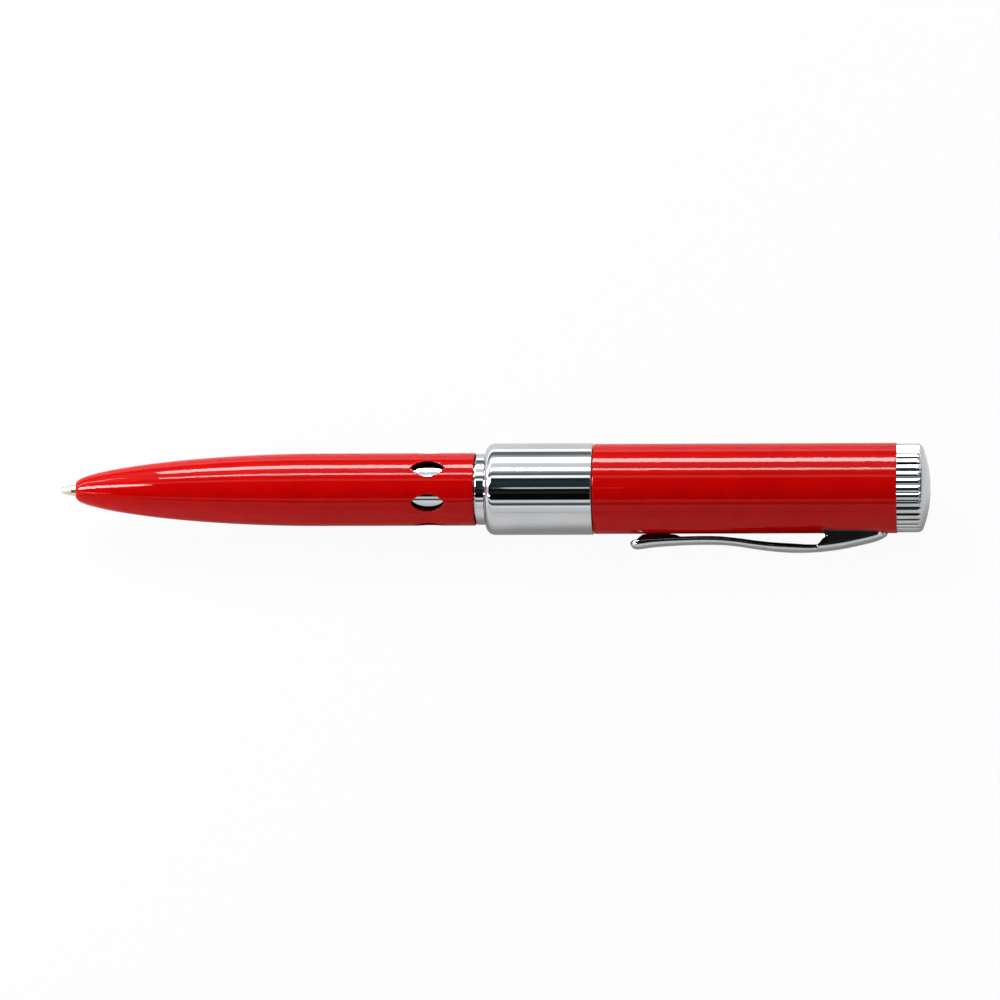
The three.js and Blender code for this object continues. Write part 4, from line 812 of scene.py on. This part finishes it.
loop_x, loop_y = np.concatenate([half_x, -half_x]), np.concatenate([half_y, -half_y])
rows = np.unique(np.round(np.concatenate([
    np.linspace(PLUG_REAR, HOLE_REAR, 9), np.linspace(HOLE_REAR, HOLE_FRONT, 5),
    np.linspace(HOLE_FRONT, PLUG_MOUTH - MOUTH_LENGTH, 8),
    np.linspace(PLUG_MOUTH - MOUTH_LENGTH, PLUG_MOUTH, 4),
]), 6))
in_mouth = np.clip((rows - PLUG_MOUTH + MOUTH_LENGTH) / MOUTH_LENGTH, 0, 1)
draw_in = 1 - MOUTH_DRAW * in_mouth**2
faces = grid_faces(len(rows), loop_x.size, False)
row_of, column_of = faces[:, 0] // loop_x.size, faces[:, 0] % loop_x.size
middle_row = (rows[row_of] + rows[row_of + 1]) / 2
middle_x = (loop_x[column_of] + loop_x[(column_of + 1) % loop_x.size]) / 2
middle_y = (loop_y[column_of] + loop_y[(column_of + 1) % loop_x.size]) / 2
in_hole = (middle_row > HOLE_REAR) & (middle_row < HOLE_FRONT)
in_hole &= (np.abs(middle_x) > HOLE_INNER) & (np.abs(middle_x) < HOLE_OUTER)
in_hole &= np.abs(middle_y) > PLUG_HALF_HEIGHT - 1e-6
shell_points = place(rows[:, None], loop_x * draw_in[:, None], loop_y * draw_in[:, None])
plug_shell = new_piece("usb_plug_folded_shell", shell_points, faces[~in_hole])
wall = plug_shell.modifiers.new("sheet", "SOLIDIFY")
wall.thickness = SHEET * MM
wall.offset = -1.0
wall.use_even_offset = True
edge = plug_shell.modifiers.new("edges", "BEVEL")
edge.width = SHEET_EDGE * MM
edge.segments = 2
edge.angle_limit = math.radians(50)
set_in(plug_shell, "collar", "plug_steel", "usb_plug_shell")

# %% [markdown]
# The cap slides over a rubber ring that lies in a groove of the drive's carrier. It is a plain
# ring of round section, so its outline is a circle.

# %% Friction ring
RING_STATION, RING_RADIUS, RING_SECTION = 89.33, 6.41, 0.37
ring_turn = np.linspace(0, 2 * np.pi, 24, endpoint=False)
ring_outline = np.stack([RING_STATION + RING_SECTION * np.cos(ring_turn),
                         RING_RADIUS + RING_SECTION * np.sin(ring_turn)], -1)
friction_ring = turned("friction_ring_moulded", ring_outline)
set_in(friction_ring, "collar", "black_rubber", "friction_ring")

# %% [markdown]
# The two halves of the carrier, the plug's tongue and the clip's block have the right shape
# already, but every edge of theirs is knife-sharp and their rounds are flat-sided. A copy of
# each is welded, gets a small bevel, and is shaded smooth.

# %% Softened copies
SOFT_EDGE = 0.06


def soften(node, slot_name, body):
    """A welded copy of the node's mesh with its sharp edges broken by a bevel."""
    mesh = frame["nodes"][node].data.copy()
    mesh.materials.clear()
    shell = bmesh.new()
    shell.from_mesh(mesh)
    bmesh.ops.remove_doubles(shell, verts=shell.verts, dist=MM * 1e-3)
    bmesh.ops.dissolve_limit(
        shell, angle_limit=math.radians(1), verts=shell.verts, edges=shell.edges
    )
    shell.to_mesh(mesh)
    shell.free()
    mesh.shade_smooth()
    mesh.set_sharp_from_angle(angle=CRISP)
    piece = bpy.data.objects.new(node + "_moulded", mesh)
    bpy.context.scene.collection.objects.link(piece)
    edges = piece.modifiers.new("edges", "BEVEL")
    edges.width = SOFT_EDGE * MM
    edges.segments = 2
    edges.angle_limit = CRISP
    edges.harden_normals = True
    set_in(piece, body, slot_name, node)
    print(f"{piece.name}: {len(mesh.polygons)} faces before its bevel")


soften("upper_carrier", "black_plastic", "collar")
soften("lower_carrier", "black_plastic", "collar")
soften("usb_plug_tongue", "white_plastic", "collar")
soften("clip_block", "plain_steel", "cap")

# %% [markdown]
# ## Shared effects
# Real surfaces are never the same all over. Two effects are shared by many finishes: smears from
# handling, which change the gloss in soft patches, and hairlines, which are fine scratches
# drawn out round the pen. Each is a node group with named inputs, used by many materials.

# %% Node helpers
def add(tree, kind, links=(), **values):
    """Adds a node, sets its named inputs to plain values, and joins its inputs to outputs."""
    node = tree.nodes.new(kind)
    for name, value in values.items():
        if name in node.inputs:
            node.inputs[name].default_value = value
        else:
            setattr(node, name, value)
    for name, source in dict(links).items():
        tree.links.new(source, node.inputs[name])
    return node


def new_group(name, inputs, outputs):
    """A shader group with named float or vector sockets; it returns its tree and both ends."""
    tree = bpy.data.node_groups.new(name, "ShaderNodeTree")
    for in_out, sockets in (("INPUT", inputs), ("OUTPUT", outputs)):
        for label, kind, *value in sockets:
            socket = tree.interface.new_socket(label, in_out=in_out, socket_type=kind)
            if value:
                socket.default_value = value[0]
    return tree, add(tree, "NodeGroupInput"), add(tree, "NodeGroupOutput")


FLOAT, VECTOR = "NodeSocketFloat", "NodeSocketVector"

# %% [markdown]
# Materials, floor and studio need the same few sums again and again: a bit of arithmetic, a
# share that rises over a span, the reach along a direction and the distance from the pen's axis.
# Each is a short function that adds its node and returns what comes out.

# %% Sums with nodes
def calculate(tree, operation, *terms):
    """Arithmetic on outputs and plain numbers; a number is set on the node's own input."""
    node = add(tree, "ShaderNodeMath", operation=operation)
    for socket, term in zip(node.inputs, terms):
        if isinstance(term, bpy.types.NodeSocket):
            tree.links.new(term, socket)
        else:
            socket.default_value = term
    return node.outputs[0]


def ramp(tree, source, start, end):
    """A share that goes from 0 to 1 while the source goes from start to end."""
    span = {"From Min": start, "From Max": end}
    return add(tree, "ShaderNodeMapRange", {"Value": source}, **span).outputs["Result"]


def along(tree, source, direction):
    """How far a vector reaches along a direction."""
    node = add(tree, "ShaderNodeVectorMath", {0: source}, operation="DOT_PRODUCT")
    node.inputs[1].default_value = Vector(direction)
    return node.outputs["Value"]


def from_axis(tree, where):
    """The distance from the pen's axis: down by the axis height, flat across it, and its length."""
    level = add(tree, "ShaderNodeVectorMath", {0: where}, operation="SUBTRACT")
    level.inputs[1].default_value = (0.0, 0.0, AXIS_HEIGHT)
    flat_across = add(tree, "ShaderNodeVectorMath", {0: level.outputs[0]}, operation="MULTIPLY")
    flat_across.inputs[1].default_value = (0.0, 1.0, 1.0)
    radius = add(tree, "ShaderNodeVectorMath", {0: flat_across.outputs[0]}, operation="LENGTH")
    return radius.outputs["Value"]


# %% [markdown]
# Colours need two more: a mix of two colours by a share, and a row of colour stops, between
# which the colour changes evenly.

# %% Colours with nodes
def mix_colours(tree, share, *colours):
    """From the first colour to the second by a share; each is an output or three numbers."""
    node = add(tree, "ShaderNodeMix", {"Factor": share}, data_type="RGBA")
    for socket, colour in zip((node.inputs[6], node.inputs[7]), colours):
        if isinstance(colour, bpy.types.NodeSocket):
            tree.links.new(colour, socket)
        else:
            socket.default_value = (*colour, 1.0)
    return node.outputs[2]


def colour_bands(tree, place_in_row, stops):
    """A row of colour stops, each a place from 0 to 1, three numbers and an alpha."""
    node = add(tree, "ShaderNodeValToRGB", {"Fac": place_in_row})
    elements = node.color_ramp.elements
    elements.remove(elements[1])
    for i, (spot, colour, alpha) in enumerate(stops):
        element = elements[0] if i == 0 else elements.new(spot)
        element.position = spot
        element.color = (*colour, alpha)
    return node


# %% [markdown]
# ## Two effects
# The smears are a cloud of noise, spread between a low and a high roughness. The hairlines are
# noise that is drawn out across the pen and so fine along it that it turns into lines.

# %% Smears
CLOUD_LOW, CLOUD_HIGH = 0.35, 0.7

smears, entry, leave = new_group(
    "smears",
    [("Vector", VECTOR), ("Scale", FLOAT, 400.0), ("Low", FLOAT, 0.04), ("High", FLOAT, 0.1)],
    [("Roughness", FLOAT)],
)
cloud = add(smears, "ShaderNodeTexNoise", {"Vector": entry.outputs["Vector"],
                                           "Scale": entry.outputs["Scale"]}, Detail=6.0)
spread = add(smears, "ShaderNodeMapRange", {"Value": cloud.outputs["Fac"],
                                            "To Min": entry.outputs["Low"],
                                            "To Max": entry.outputs["High"]},
             **{"From Min": CLOUD_LOW, "From Max": CLOUD_HIGH})
smears.links.new(spread.outputs["Result"], leave.inputs["Roughness"])

# %% Hairlines
LINES_PER_METRE = (9000.0, 260.0, 260.0)

hairlines, entry, leave = new_group(
    "hairlines", [("Vector", VECTOR), ("Fineness", FLOAT, 1.0)], [("Height", FLOAT)]
)
drawn = add(hairlines, "ShaderNodeMapping", {"Vector": entry.outputs["Vector"]},
            vector_type="POINT", Scale=LINES_PER_METRE)
scaled = add(hairlines, "ShaderNodeVectorMath", {0: drawn.outputs["Vector"]}, operation="SCALE")
hairlines.links.new(entry.outputs["Fineness"], scaled.inputs["Scale"])
lines = add(hairlines, "ShaderNodeTexNoise", {"Vector": scaled.outputs["Vector"]},
            Scale=1.0, Detail=3.0)
hairlines.links.new(lines.outputs["Fac"], leave.inputs["Height"])
print("groups:", [group.name for group in bpy.data.node_groups])

# %% [markdown]
# ## Finishes
# Each finish is a Principled material. Numbers that are the same all over are set on the
# shader's own sockets. What changes over the surface comes from object coordinates, through
# the two groups and a little noise of the finish's own.

# %% Finish helper
LINE_DEPTH = 2e-6
TONE_START, TONE_END = 0.35, 0.65


def finish(name, **sockets):
    """A new material and its tree, shader and object coordinates."""
    material = bpy.data.materials.new(name)
    material.use_nodes = True
    tree = material.node_tree
    shader = tree.nodes["Principled BSDF"]
    for label, value in sockets.items():
        shader.inputs[label.replace("_", " ")].default_value = value
    where = add(tree, "ShaderNodeTexCoord").outputs["Object"]
    return material, tree, shader, where


def use_smears(tree, shader, where, scale, low, high):
    """Joins the smears group to the shader's roughness."""
    node = add(tree, "ShaderNodeGroup", node_tree=smears, Scale=scale, Low=low, High=high)
    tree.links.new(where, node.inputs["Vector"])
    tree.links.new(node.outputs["Roughness"], shader.inputs["Roughness"])


def use_bump(tree, shader, height, strength, distance):
    """Joins a height to the shader's normal; distance is the height of a full step in metres."""
    bump = add(tree, "ShaderNodeBump", {"Height": height}, Strength=strength, Distance=distance)
    tree.links.new(bump.outputs["Normal"], shader.inputs["Normal"])


def use_hairlines(tree, shader, where, fineness, strength):
    """Joins the hairlines group to the shader's normal."""
    node = add(tree, "ShaderNodeGroup", node_tree=hairlines, Fineness=fineness)
    tree.links.new(where, node.inputs["Vector"])
    use_bump(tree, shader, node.outputs["Height"], strength, LINE_DEPTH)


def use_tones(tree, shader, where, scale, dark, light):
    """Colours the surface between two tones by a cloud of noise, and returns that colour."""
    cloud = add(tree, "ShaderNodeTexNoise", {"Vector": where}, Scale=scale, Detail=5.0)
    stops = [(TONE_START, dark, 1.0), (TONE_END, light, 1.0)]
    tones = colour_bands(tree, cloud.outputs["Fac"], stops).outputs["Color"]
    tree.links.new(tones, shader.inputs["Base Color"])
    return tones


# %% [markdown]
# The lacquer is a deep red under a clear coat. The red has a faint unevenness, and the coat has
# the slight ripple that sprayed paint keeps. The walls of the windows and the bore behind the
# belt's front get a near-black red, which is painted shade, and the clear coat fades out there.
# Where that is follows from the distance to the pen's axis and from the place along it.

# %% Red lacquer
# Painted shade: the near-black red of the window walls and of the bore behind the belt
WALL_SHADE_RED = (0.035, 0.0006, 0.0005)
COAT = 0.7
FULL_SHADE_RADIUS, NO_SHADE_RADIUS = BARREL_RADIUS - 0.3, BARREL_RADIUS - 0.1
SHADE_FADE = 0.5
RIPPLE_DEPTH = 3e-6


def at_station(station):
    """A station as a place along the room's first direction."""
    return TIP[0] + station * MM


red_lacquer, tree, shader, where = finish(
    "red_lacquer", Coat_Weight=COAT, Coat_Roughness=0.03, Coat_IOR=1.3, Specular_IOR_Level=0.0
)
red = use_tones(tree, shader, where, 260.0, (0.51, 0.0011, 0.0009), (0.56, 0.0017, 0.0013))
use_smears(tree, shader, where, 300.0, 0.25, 0.33)
# Painted shade: the red is full on the outside and ahead of the belt and turns near-black deeper
# in; the coat follows it
outer = ramp(tree, from_axis(tree, where), FULL_SHADE_RADIUS * MM, NO_SHADE_RADIUS * MM)
ahead = ramp(tree, along(tree, where, ALONG), at_station(BELT_FRONT + SHADE_FADE),
             at_station(BELT_FRONT))
unshaded = calculate(tree, "MAXIMUM", outer, ahead)
tree.links.new(mix_colours(tree, unshaded, WALL_SHADE_RED, red), shader.inputs["Base Color"])
tree.links.new(calculate(tree, "MULTIPLY", unshaded, COAT), shader.inputs["Coat Weight"])
ripple = add(tree, "ShaderNodeTexNoise", {"Vector": where}, Scale=500.0, Detail=2.0)
use_bump(tree, shader, ripple.outputs["Fac"], 0.008, RIPPLE_DEPTH)
tree.links.new(shader.inputs["Normal"].links[0].from_socket, shader.inputs["Coat Normal"])

# %% [markdown]
# Chrome plate is a mirror with a slightly cool tint. Its gloss dulls a little where it has been
# handled, and polishing leaves hairlines that run round the pen. The clip's inside, which is
# marked on its points, the clip's foot and the bottoms of the finial's grooves are coloured dark
# grey, which is painted shade.

# %% Chrome
# Painted shade: the dark grey of the clip's inside, its foot and the grooves' bottoms
SHADE_GREY = (0.11, 0.11, 0.115)
GROOVES_FRONT, GROOVES_REAR = (138.4, 138.5), (142.2, 142.0)  # each fades over this span
GROOVE_LIT_RADIUS, GROOVE_SHADE_RADIUS = KNOB_RADIUS - 0.14, KNOB_RADIUS - 0.22

chrome, tree, shader, where = finish("chrome", Metallic=1.0)
plate_tones = use_tones(tree, shader, where, 120.0, (0.61, 0.62, 0.635), (0.66, 0.67, 0.68))
use_smears(tree, shader, where, 350.0, 0.03, 0.065)
use_hairlines(tree, shader, where, 1.0, 0.012)

# Painted shade: points marked as inside, and the grooves' bottoms, take the dark grey instead of
# the plate's tones
inside = add(tree, "ShaderNodeAttribute", attribute_name="inside")
place_along = along(tree, where, ALONG)
behind, ahead = (ramp(tree, place_along, *map(at_station, ends))
                 for ends in (GROOVES_FRONT, GROOVES_REAR))
deep = ramp(tree, from_axis(tree, where), GROOVE_LIT_RADIUS * MM, GROOVE_SHADE_RADIUS * MM)
groove_shade = calculate(tree, "MULTIPLY", calculate(tree, "MULTIPLY", ahead, behind), deep)
shade_share = calculate(tree, "MAXIMUM", inside.outputs["Fac"], groove_shade)
plate = mix_colours(tree, shade_share, plate_tones, SHADE_GREY)
tree.links.new(plate, shader.inputs["Base Color"])

# %% [markdown]
# The turned metals share one recipe: two close tones, tool lines round the pen, and a gloss
# that varies. Nickel silver, brass, plain steel, the ball, the plug's plate and the gold
# differ only in their numbers.

# %% Turned metals
# dark tone, light tone, lowest roughness, highest roughness, strength of the tool lines
METALS = {
    "tip_metal": ((0.60, 0.56, 0.44), (0.72, 0.68, 0.56), 0.16, 0.26, 0.2),
    "ball_steel": ((0.50, 0.50, 0.52), (0.62, 0.62, 0.63), 0.06, 0.12, 0.1),
    "plain_steel": ((0.40, 0.40, 0.42), (0.50, 0.50, 0.52), 0.22, 0.34, 0.5),
    "brass": ((0.55, 0.38, 0.13), (0.66, 0.47, 0.18), 0.22, 0.32, 0.6),
    "plug_steel": ((0.52, 0.53, 0.54), (0.60, 0.61, 0.62), 0.20, 0.32, 0.5),
    "gold_plate": ((0.66, 0.42, 0.10), (0.78, 0.52, 0.15), 0.15, 0.25, 0.4),
}
finishes = {"red_lacquer": red_lacquer, "chrome": chrome}
for name, (dark, light, low, high, line_strength) in METALS.items():
    finishes[name], tree, shader, where = finish(name, Metallic=1.0)
    use_tones(tree, shader, where, 500.0, dark, light)
    use_smears(tree, shader, where, 700.0, low, high)
    use_hairlines(tree, shader, where, 1.6, line_strength)

# %% [markdown]
# Moulded plastics and the rubber ring have a fine even grain from the mould, a little colour
# change, and no metal in them.

# %% Plastics and rubber
GRAIN_DEPTH = 8e-6
# dark tone, light tone, lowest roughness, highest roughness, strength of the grain
PLASTICS = {
    "white_plastic": ((0.70, 0.70, 0.67), (0.78, 0.78, 0.75), 0.38, 0.5, 0.15),
    "black_plastic": ((0.014, 0.014, 0.016), (0.026, 0.026, 0.028), 0.35, 0.5, 0.3),
    "black_rubber": ((0.010, 0.010, 0.010), (0.018, 0.018, 0.018), 0.6, 0.75, 0.4),
    "ink": ((0.006, 0.012, 0.09), (0.012, 0.022, 0.15), 0.15, 0.25, 0.1),
}
for name, (dark, light, low, high, grain_strength) in PLASTICS.items():
    finishes[name], tree, shader, where = finish(name)
    use_tones(tree, shader, where, 900.0, dark, light)
    use_smears(tree, shader, where, 900.0, low, high)
    grain = add(tree, "ShaderNodeTexNoise", {"Vector": where}, Scale=9000.0, Detail=3.0)
    use_bump(tree, shader, grain.outputs["Fac"], grain_strength, GRAIN_DEPTH)

# %% [markdown]
# The circuit board is green solder mask over copper tracks. The tracks are stripes with gaps,
# a little lighter and raised where the copper lies under the mask.

# %% Circuit board
TRACK_HEIGHT = 2e-5
finishes["board_green"], tree, shader, where = finish("board_green", Coat_Weight=0.4)
tracks = add(tree, "ShaderNodeTexBrick", {"Vector": where}, Scale=1100.0,
             Color1=(0.012, 0.10, 0.035, 1.0), Color2=(0.016, 0.12, 0.042, 1.0),
             Mortar=(0.03, 0.20, 0.07, 1.0), **{"Mortar Size": 0.06})
tree.links.new(tracks.outputs["Color"], shader.inputs["Base Color"])
use_smears(tree, shader, where, 800.0, 0.3, 0.42)
use_bump(tree, shader, tracks.outputs["Fac"], 0.5, TRACK_HEIGHT)
print("finishes:", sorted(finishes))

# %% [markdown]
# Every piece now takes the finish of its slot. New pieces carry their slot's name, and the CAD
# nodes that stay in view find theirs in the record.

# %% Hand out the finishes
slot_of = {entry["node"]: entry["material_slot"] for entry in frame["record"]["subparts"]}
for name, node in frame["nodes"].items():
    node.data.materials.clear()
    node.data.materials.append(finishes[slot_of[name]])
for piece in list(bpy.context.scene.objects):
    if piece.type == "MESH" and "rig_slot" in piece and piece.name not in frame["nodes"]:
        piece.data.materials.clear()
        piece.data.materials.append(finishes[piece["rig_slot"]])

# %% [markdown]
# ## Floor and studio
# The pen lies on a white sheet. To the camera the sheet glows, so that it reads as white paper,
# and the rest of it is plain matte white that keeps the shadow. Mirrors see a fainter glow, so
# that the soft shadow under the pen darkens the underside of the chrome, as on a real desk.

# %% Floor
PAPER_SIZE = 3.0
PAPER_DROP = 0.02 * MM
PAPER_WHITE = (0.68, 0.68, 0.68)
PAPER_GLOW = 0.95
MIRRORED_GLOW = 0.08


def rays(tree):
    """The light path node, and a share for the rays that see a thing as the camera does."""
    path = add(tree, "ShaderNodeLightPath")
    camera_ray, clear_ray = path.outputs["Is Camera Ray"], path.outputs["Is Transmission Ray"]
    return path, calculate(tree, "MAXIMUM", camera_ray, clear_ray)


corners = PAPER_SIZE * np.array([[-1, -1, 0], [1, -1, 0], [1, 1, 0], [-1, 1, 0]]) / 2
paper_mesh = bpy.data.meshes.new("paper")
paper_mesh.from_pydata((corners - [0, 0, PAPER_DROP]).tolist(), [], [(0, 1, 2, 3)])
paper = bpy.data.objects.new("paper", paper_mesh)
bpy.context.scene.collection.objects.link(paper)

paper_white = bpy.data.materials.new("paper_white")
paper_white.use_nodes = True
tree = paper_white.node_tree
tree.nodes.clear()
path, shown_plainly = rays(tree)
to_camera = calculate(tree, "MULTIPLY", shown_plainly, PAPER_GLOW)
glowing = calculate(tree, "MULTIPLY_ADD", path.outputs["Is Glossy Ray"], MIRRORED_GLOW, to_camera)
matte = add(tree, "ShaderNodeBsdfDiffuse", Color=(*PAPER_WHITE, 1.0))
glow = add(tree, "ShaderNodeEmission", Color=(1.0, 1.0, 1.0, 1.0), Strength=1.0)
both = add(tree, "ShaderNodeMixShader", {0: glowing, 1: matte.outputs[0], 2: glow.outputs[0]})
add(tree, "ShaderNodeOutputMaterial", {"Surface": both.outputs[0]})
paper_mesh.materials.append(paper_white)

# %% [markdown]
# The world is the rest of the studio. The camera sees it as plain white. Matte surfaces get an
# even, soft light from it. Mirrors see what stands round a photographer's table: the dark side
# of the room where the camera stands, with pale gaps in it, and white panels above and behind.
# It is a row of bands by the angle round the pen, from the camera's side upwards.

# %% Studio world
SOFT_LIGHT = 0.48
# degrees round the pen, brightness and, where it isn't the cool one, the tint
BANDS = [
    (-180, 0.8), (-49, 0.8), (-46, 1.1), (-42.8, 0.8), (-40.5, 0.06), (-37.2, 0.06),
    (-35, 0.35), (-32.5, 0.9), (-28.7, 1.0), (-27, 0.003), (-12, 0.003), (-9, 0.03), (-4, 0.003),
    (5, 0.03, "teal"), (17, 0.05, "teal"), (27.5, 0.012, "teal"), (29, 1.6), (33, 1.9),
    (35.5, 0.14), (41, 0.14), (46, 0.75), (57, 1.05), (63, 0.85), (68, 1.1), (86, 1.1),
    (92, 0.5), (99, 0.17), (108.5, 0.22), (112, 1.9), (118, 2.0), (121.5, 1.0), (180, 0.9),
]
TINTS = {"cool": (0.93, 0.98, 1.0), "teal": (0.55, 0.9, 1.1)}
CAMERA_SIDE = 60

world = bpy.data.worlds.new("studio")
bpy.context.scene.world = world
world.use_nodes = True
tree = world.node_tree
tree.nodes.clear()
where = add(tree, "ShaderNodeTexCoord").outputs["Generated"]
round_pen = calculate(tree, "ARCTAN2", along(tree, where, AWAY), along(tree, where, FACING))
band_stops = [
    ((degrees + 180) / 360, level * np.array(TINTS[tint[0] if tint else "cool"]),
     float(abs(degrees) < CAMERA_SIDE))
    for degrees, level, *tint in BANDS
]
bands = colour_bands(tree, ramp(tree, round_pen, -math.pi, math.pi), band_stops)
print("bands:", len(band_stops))

# %% [markdown]
# Towards both ends of the pen the bands give way to plain walls: a bright one beyond the tip,
# which whitens the nose and the shoulder of the collar, and a bright one beyond the cap, each
# with a dark doorway at its end. Beyond the cap, the wall reaches nearer on the camera's side,
# which the bands' alpha marks. The light path node then picks what each kind of ray sees. What
# a mirror would throw on matte paint only adds grain, so there the studio is plain soft light.

# %% World output
# slope along the pen, brightness, share of the bands that the wall covers
WALLS = [
    (-1.0, 0.35, 1.0), (-0.97, 0.35, 1.0), (-0.9, 1.0, 1.0), (-0.84, 1.05, 1.0),
    (-0.74, 1.05, 0.0), (0.72, 1.0, 0.0), (0.78, 1.0, 1.0), (0.84, 1.0, 1.0),
    (0.9, 0.12, 1.0), (1.0, 0.12, 1.0),
]
NEARER_WALL = 0.34


def before_matte(tree, path):
    """A share for rays that haven't met a matte surface on their way from the camera."""
    return calculate(tree, "LESS_THAN", path.outputs["Diffuse Depth"], 0.5)


wall_stops = [
    ((slope + 1) / 2, level * np.array(TINTS["cool"]), cover) for slope, level, cover in WALLS
]
lean = along(tree, where, ALONG)
nearer = calculate(tree, "MULTIPLY_ADD", bands.outputs["Alpha"], NEARER_WALL, 1.0)
furthest = calculate(tree, "MAXIMUM", lean, calculate(tree, "MULTIPLY", lean, nearer))
walls = colour_bands(tree, ramp(tree, furthest, -1.0, 1.0), wall_stops)
mirrored = mix_colours(tree, walls.outputs["Alpha"], bands.outputs["Color"], walls.outputs["Color"])
path, shown_plainly = rays(tree)
in_mirror = calculate(tree, "MULTIPLY", path.outputs["Is Glossy Ray"], before_matte(tree, path))
around = mix_colours(tree, in_mirror, (SOFT_LIGHT, SOFT_LIGHT, SOFT_LIGHT), mirrored)
shown = mix_colours(tree, shown_plainly, around, (1.0, 1.0, 1.0))
background = add(tree, "ShaderNodeBackground", {"Color": shown}, Strength=1.0)
add(tree, "ShaderNodeOutputWorld", {"Surface": background.outputs[0]})

# %% [markdown]
# Two long strip lights hang above the pen and beyond it. They draw the two white lines down the
# lacquer. Three oval lamps off to the tip's side draw the streaks on the nose, and a narrow slit
# of light in front draws the fine line on the collar. These are only seen in reflections. One
# wide key light above gives the matte red its brighter upper side, and a small fill beyond the
# tip lightens the nose.

# %% Strip lights
LAMP_DISTANCE = 0.8


def strip_light(name, degrees, width_degrees, start, end, radiance, mirrored=True, oval=False,
                distance=LAMP_DISTANCE):
    """An area light at an angle round the pen, seen under a width, that reaches along the pen
    from one slope to another; a slope is the length along for each length of distance. Its
    energy is its brightness times its area times pi."""
    data = bpy.data.lights.new(name, "AREA")
    data.shape = "ELLIPSE" if oval else "RECTANGLE"
    data.size = distance * (end - start)
    data.size_y = 2 * distance * math.tan(math.radians(width_degrees) / 2)
    area = data.size * data.size_y * (math.pi / 4 if oval else 1.0)
    data.energy = radiance * area * math.pi
    lamp = bpy.data.objects.new(name, data)
    angle = math.radians(degrees)
    outward = math.sin(angle) * AWAY + math.cos(angle) * FACING
    middle = np.array([0, 0, AXIS_HEIGHT]) + distance * (outward + ALONG * (start + end) / 2)
    turn_up = np.cross(outward, ALONG)
    lamp.matrix_world = Matrix.Translation(middle) @ Matrix(
        (ALONG, turn_up, outward)
    ).transposed().to_4x4()
    lamp.visible_camera = False
    lamp.visible_glossy = mirrored
    lamp.visible_diffuse = not mirrored
    if mirrored:
        data.use_nodes = True
        tree = data.node_tree
        unmuted = before_matte(tree, add(tree, "ShaderNodeLightPath"))
        tree.links.new(unmuted, tree.nodes["Emission"].inputs["Strength"])
    bpy.context.scene.collection.objects.link(lamp)
    print(f"{name}: {data.size:.2f} by {data.size_y:.2f} m, {data.energy:.1f} W")


strip_light("upper_strip", 78.0, 12.0, -0.395, 0.30, 34.0)
strip_light("near_strip", 51.0, 5.0, -0.42, 0.30, 30.0)
strip_light("nose_lamp", 24.0, 25.0, -2.7, -0.46, 50.0, oval=True)
strip_light("nose_edge_lamp", 67.0, 6.0, -2.7, -0.50, 36.0, oval=True)
strip_light("nose_low_lamp", -19.0, 4.5, -1.6, -0.62, 18.0, oval=True)
strip_light("slit", 2.6, 3.4, -0.086, -0.045, 0.75)
strip_light("key_light", 70.0, 30.0, -1.1, -0.1, 9.3, mirrored=False)
strip_light("nose_fill", -15.0, 60.0, -2.6, -2.0, 9.0, mirrored=False, distance=0.08)
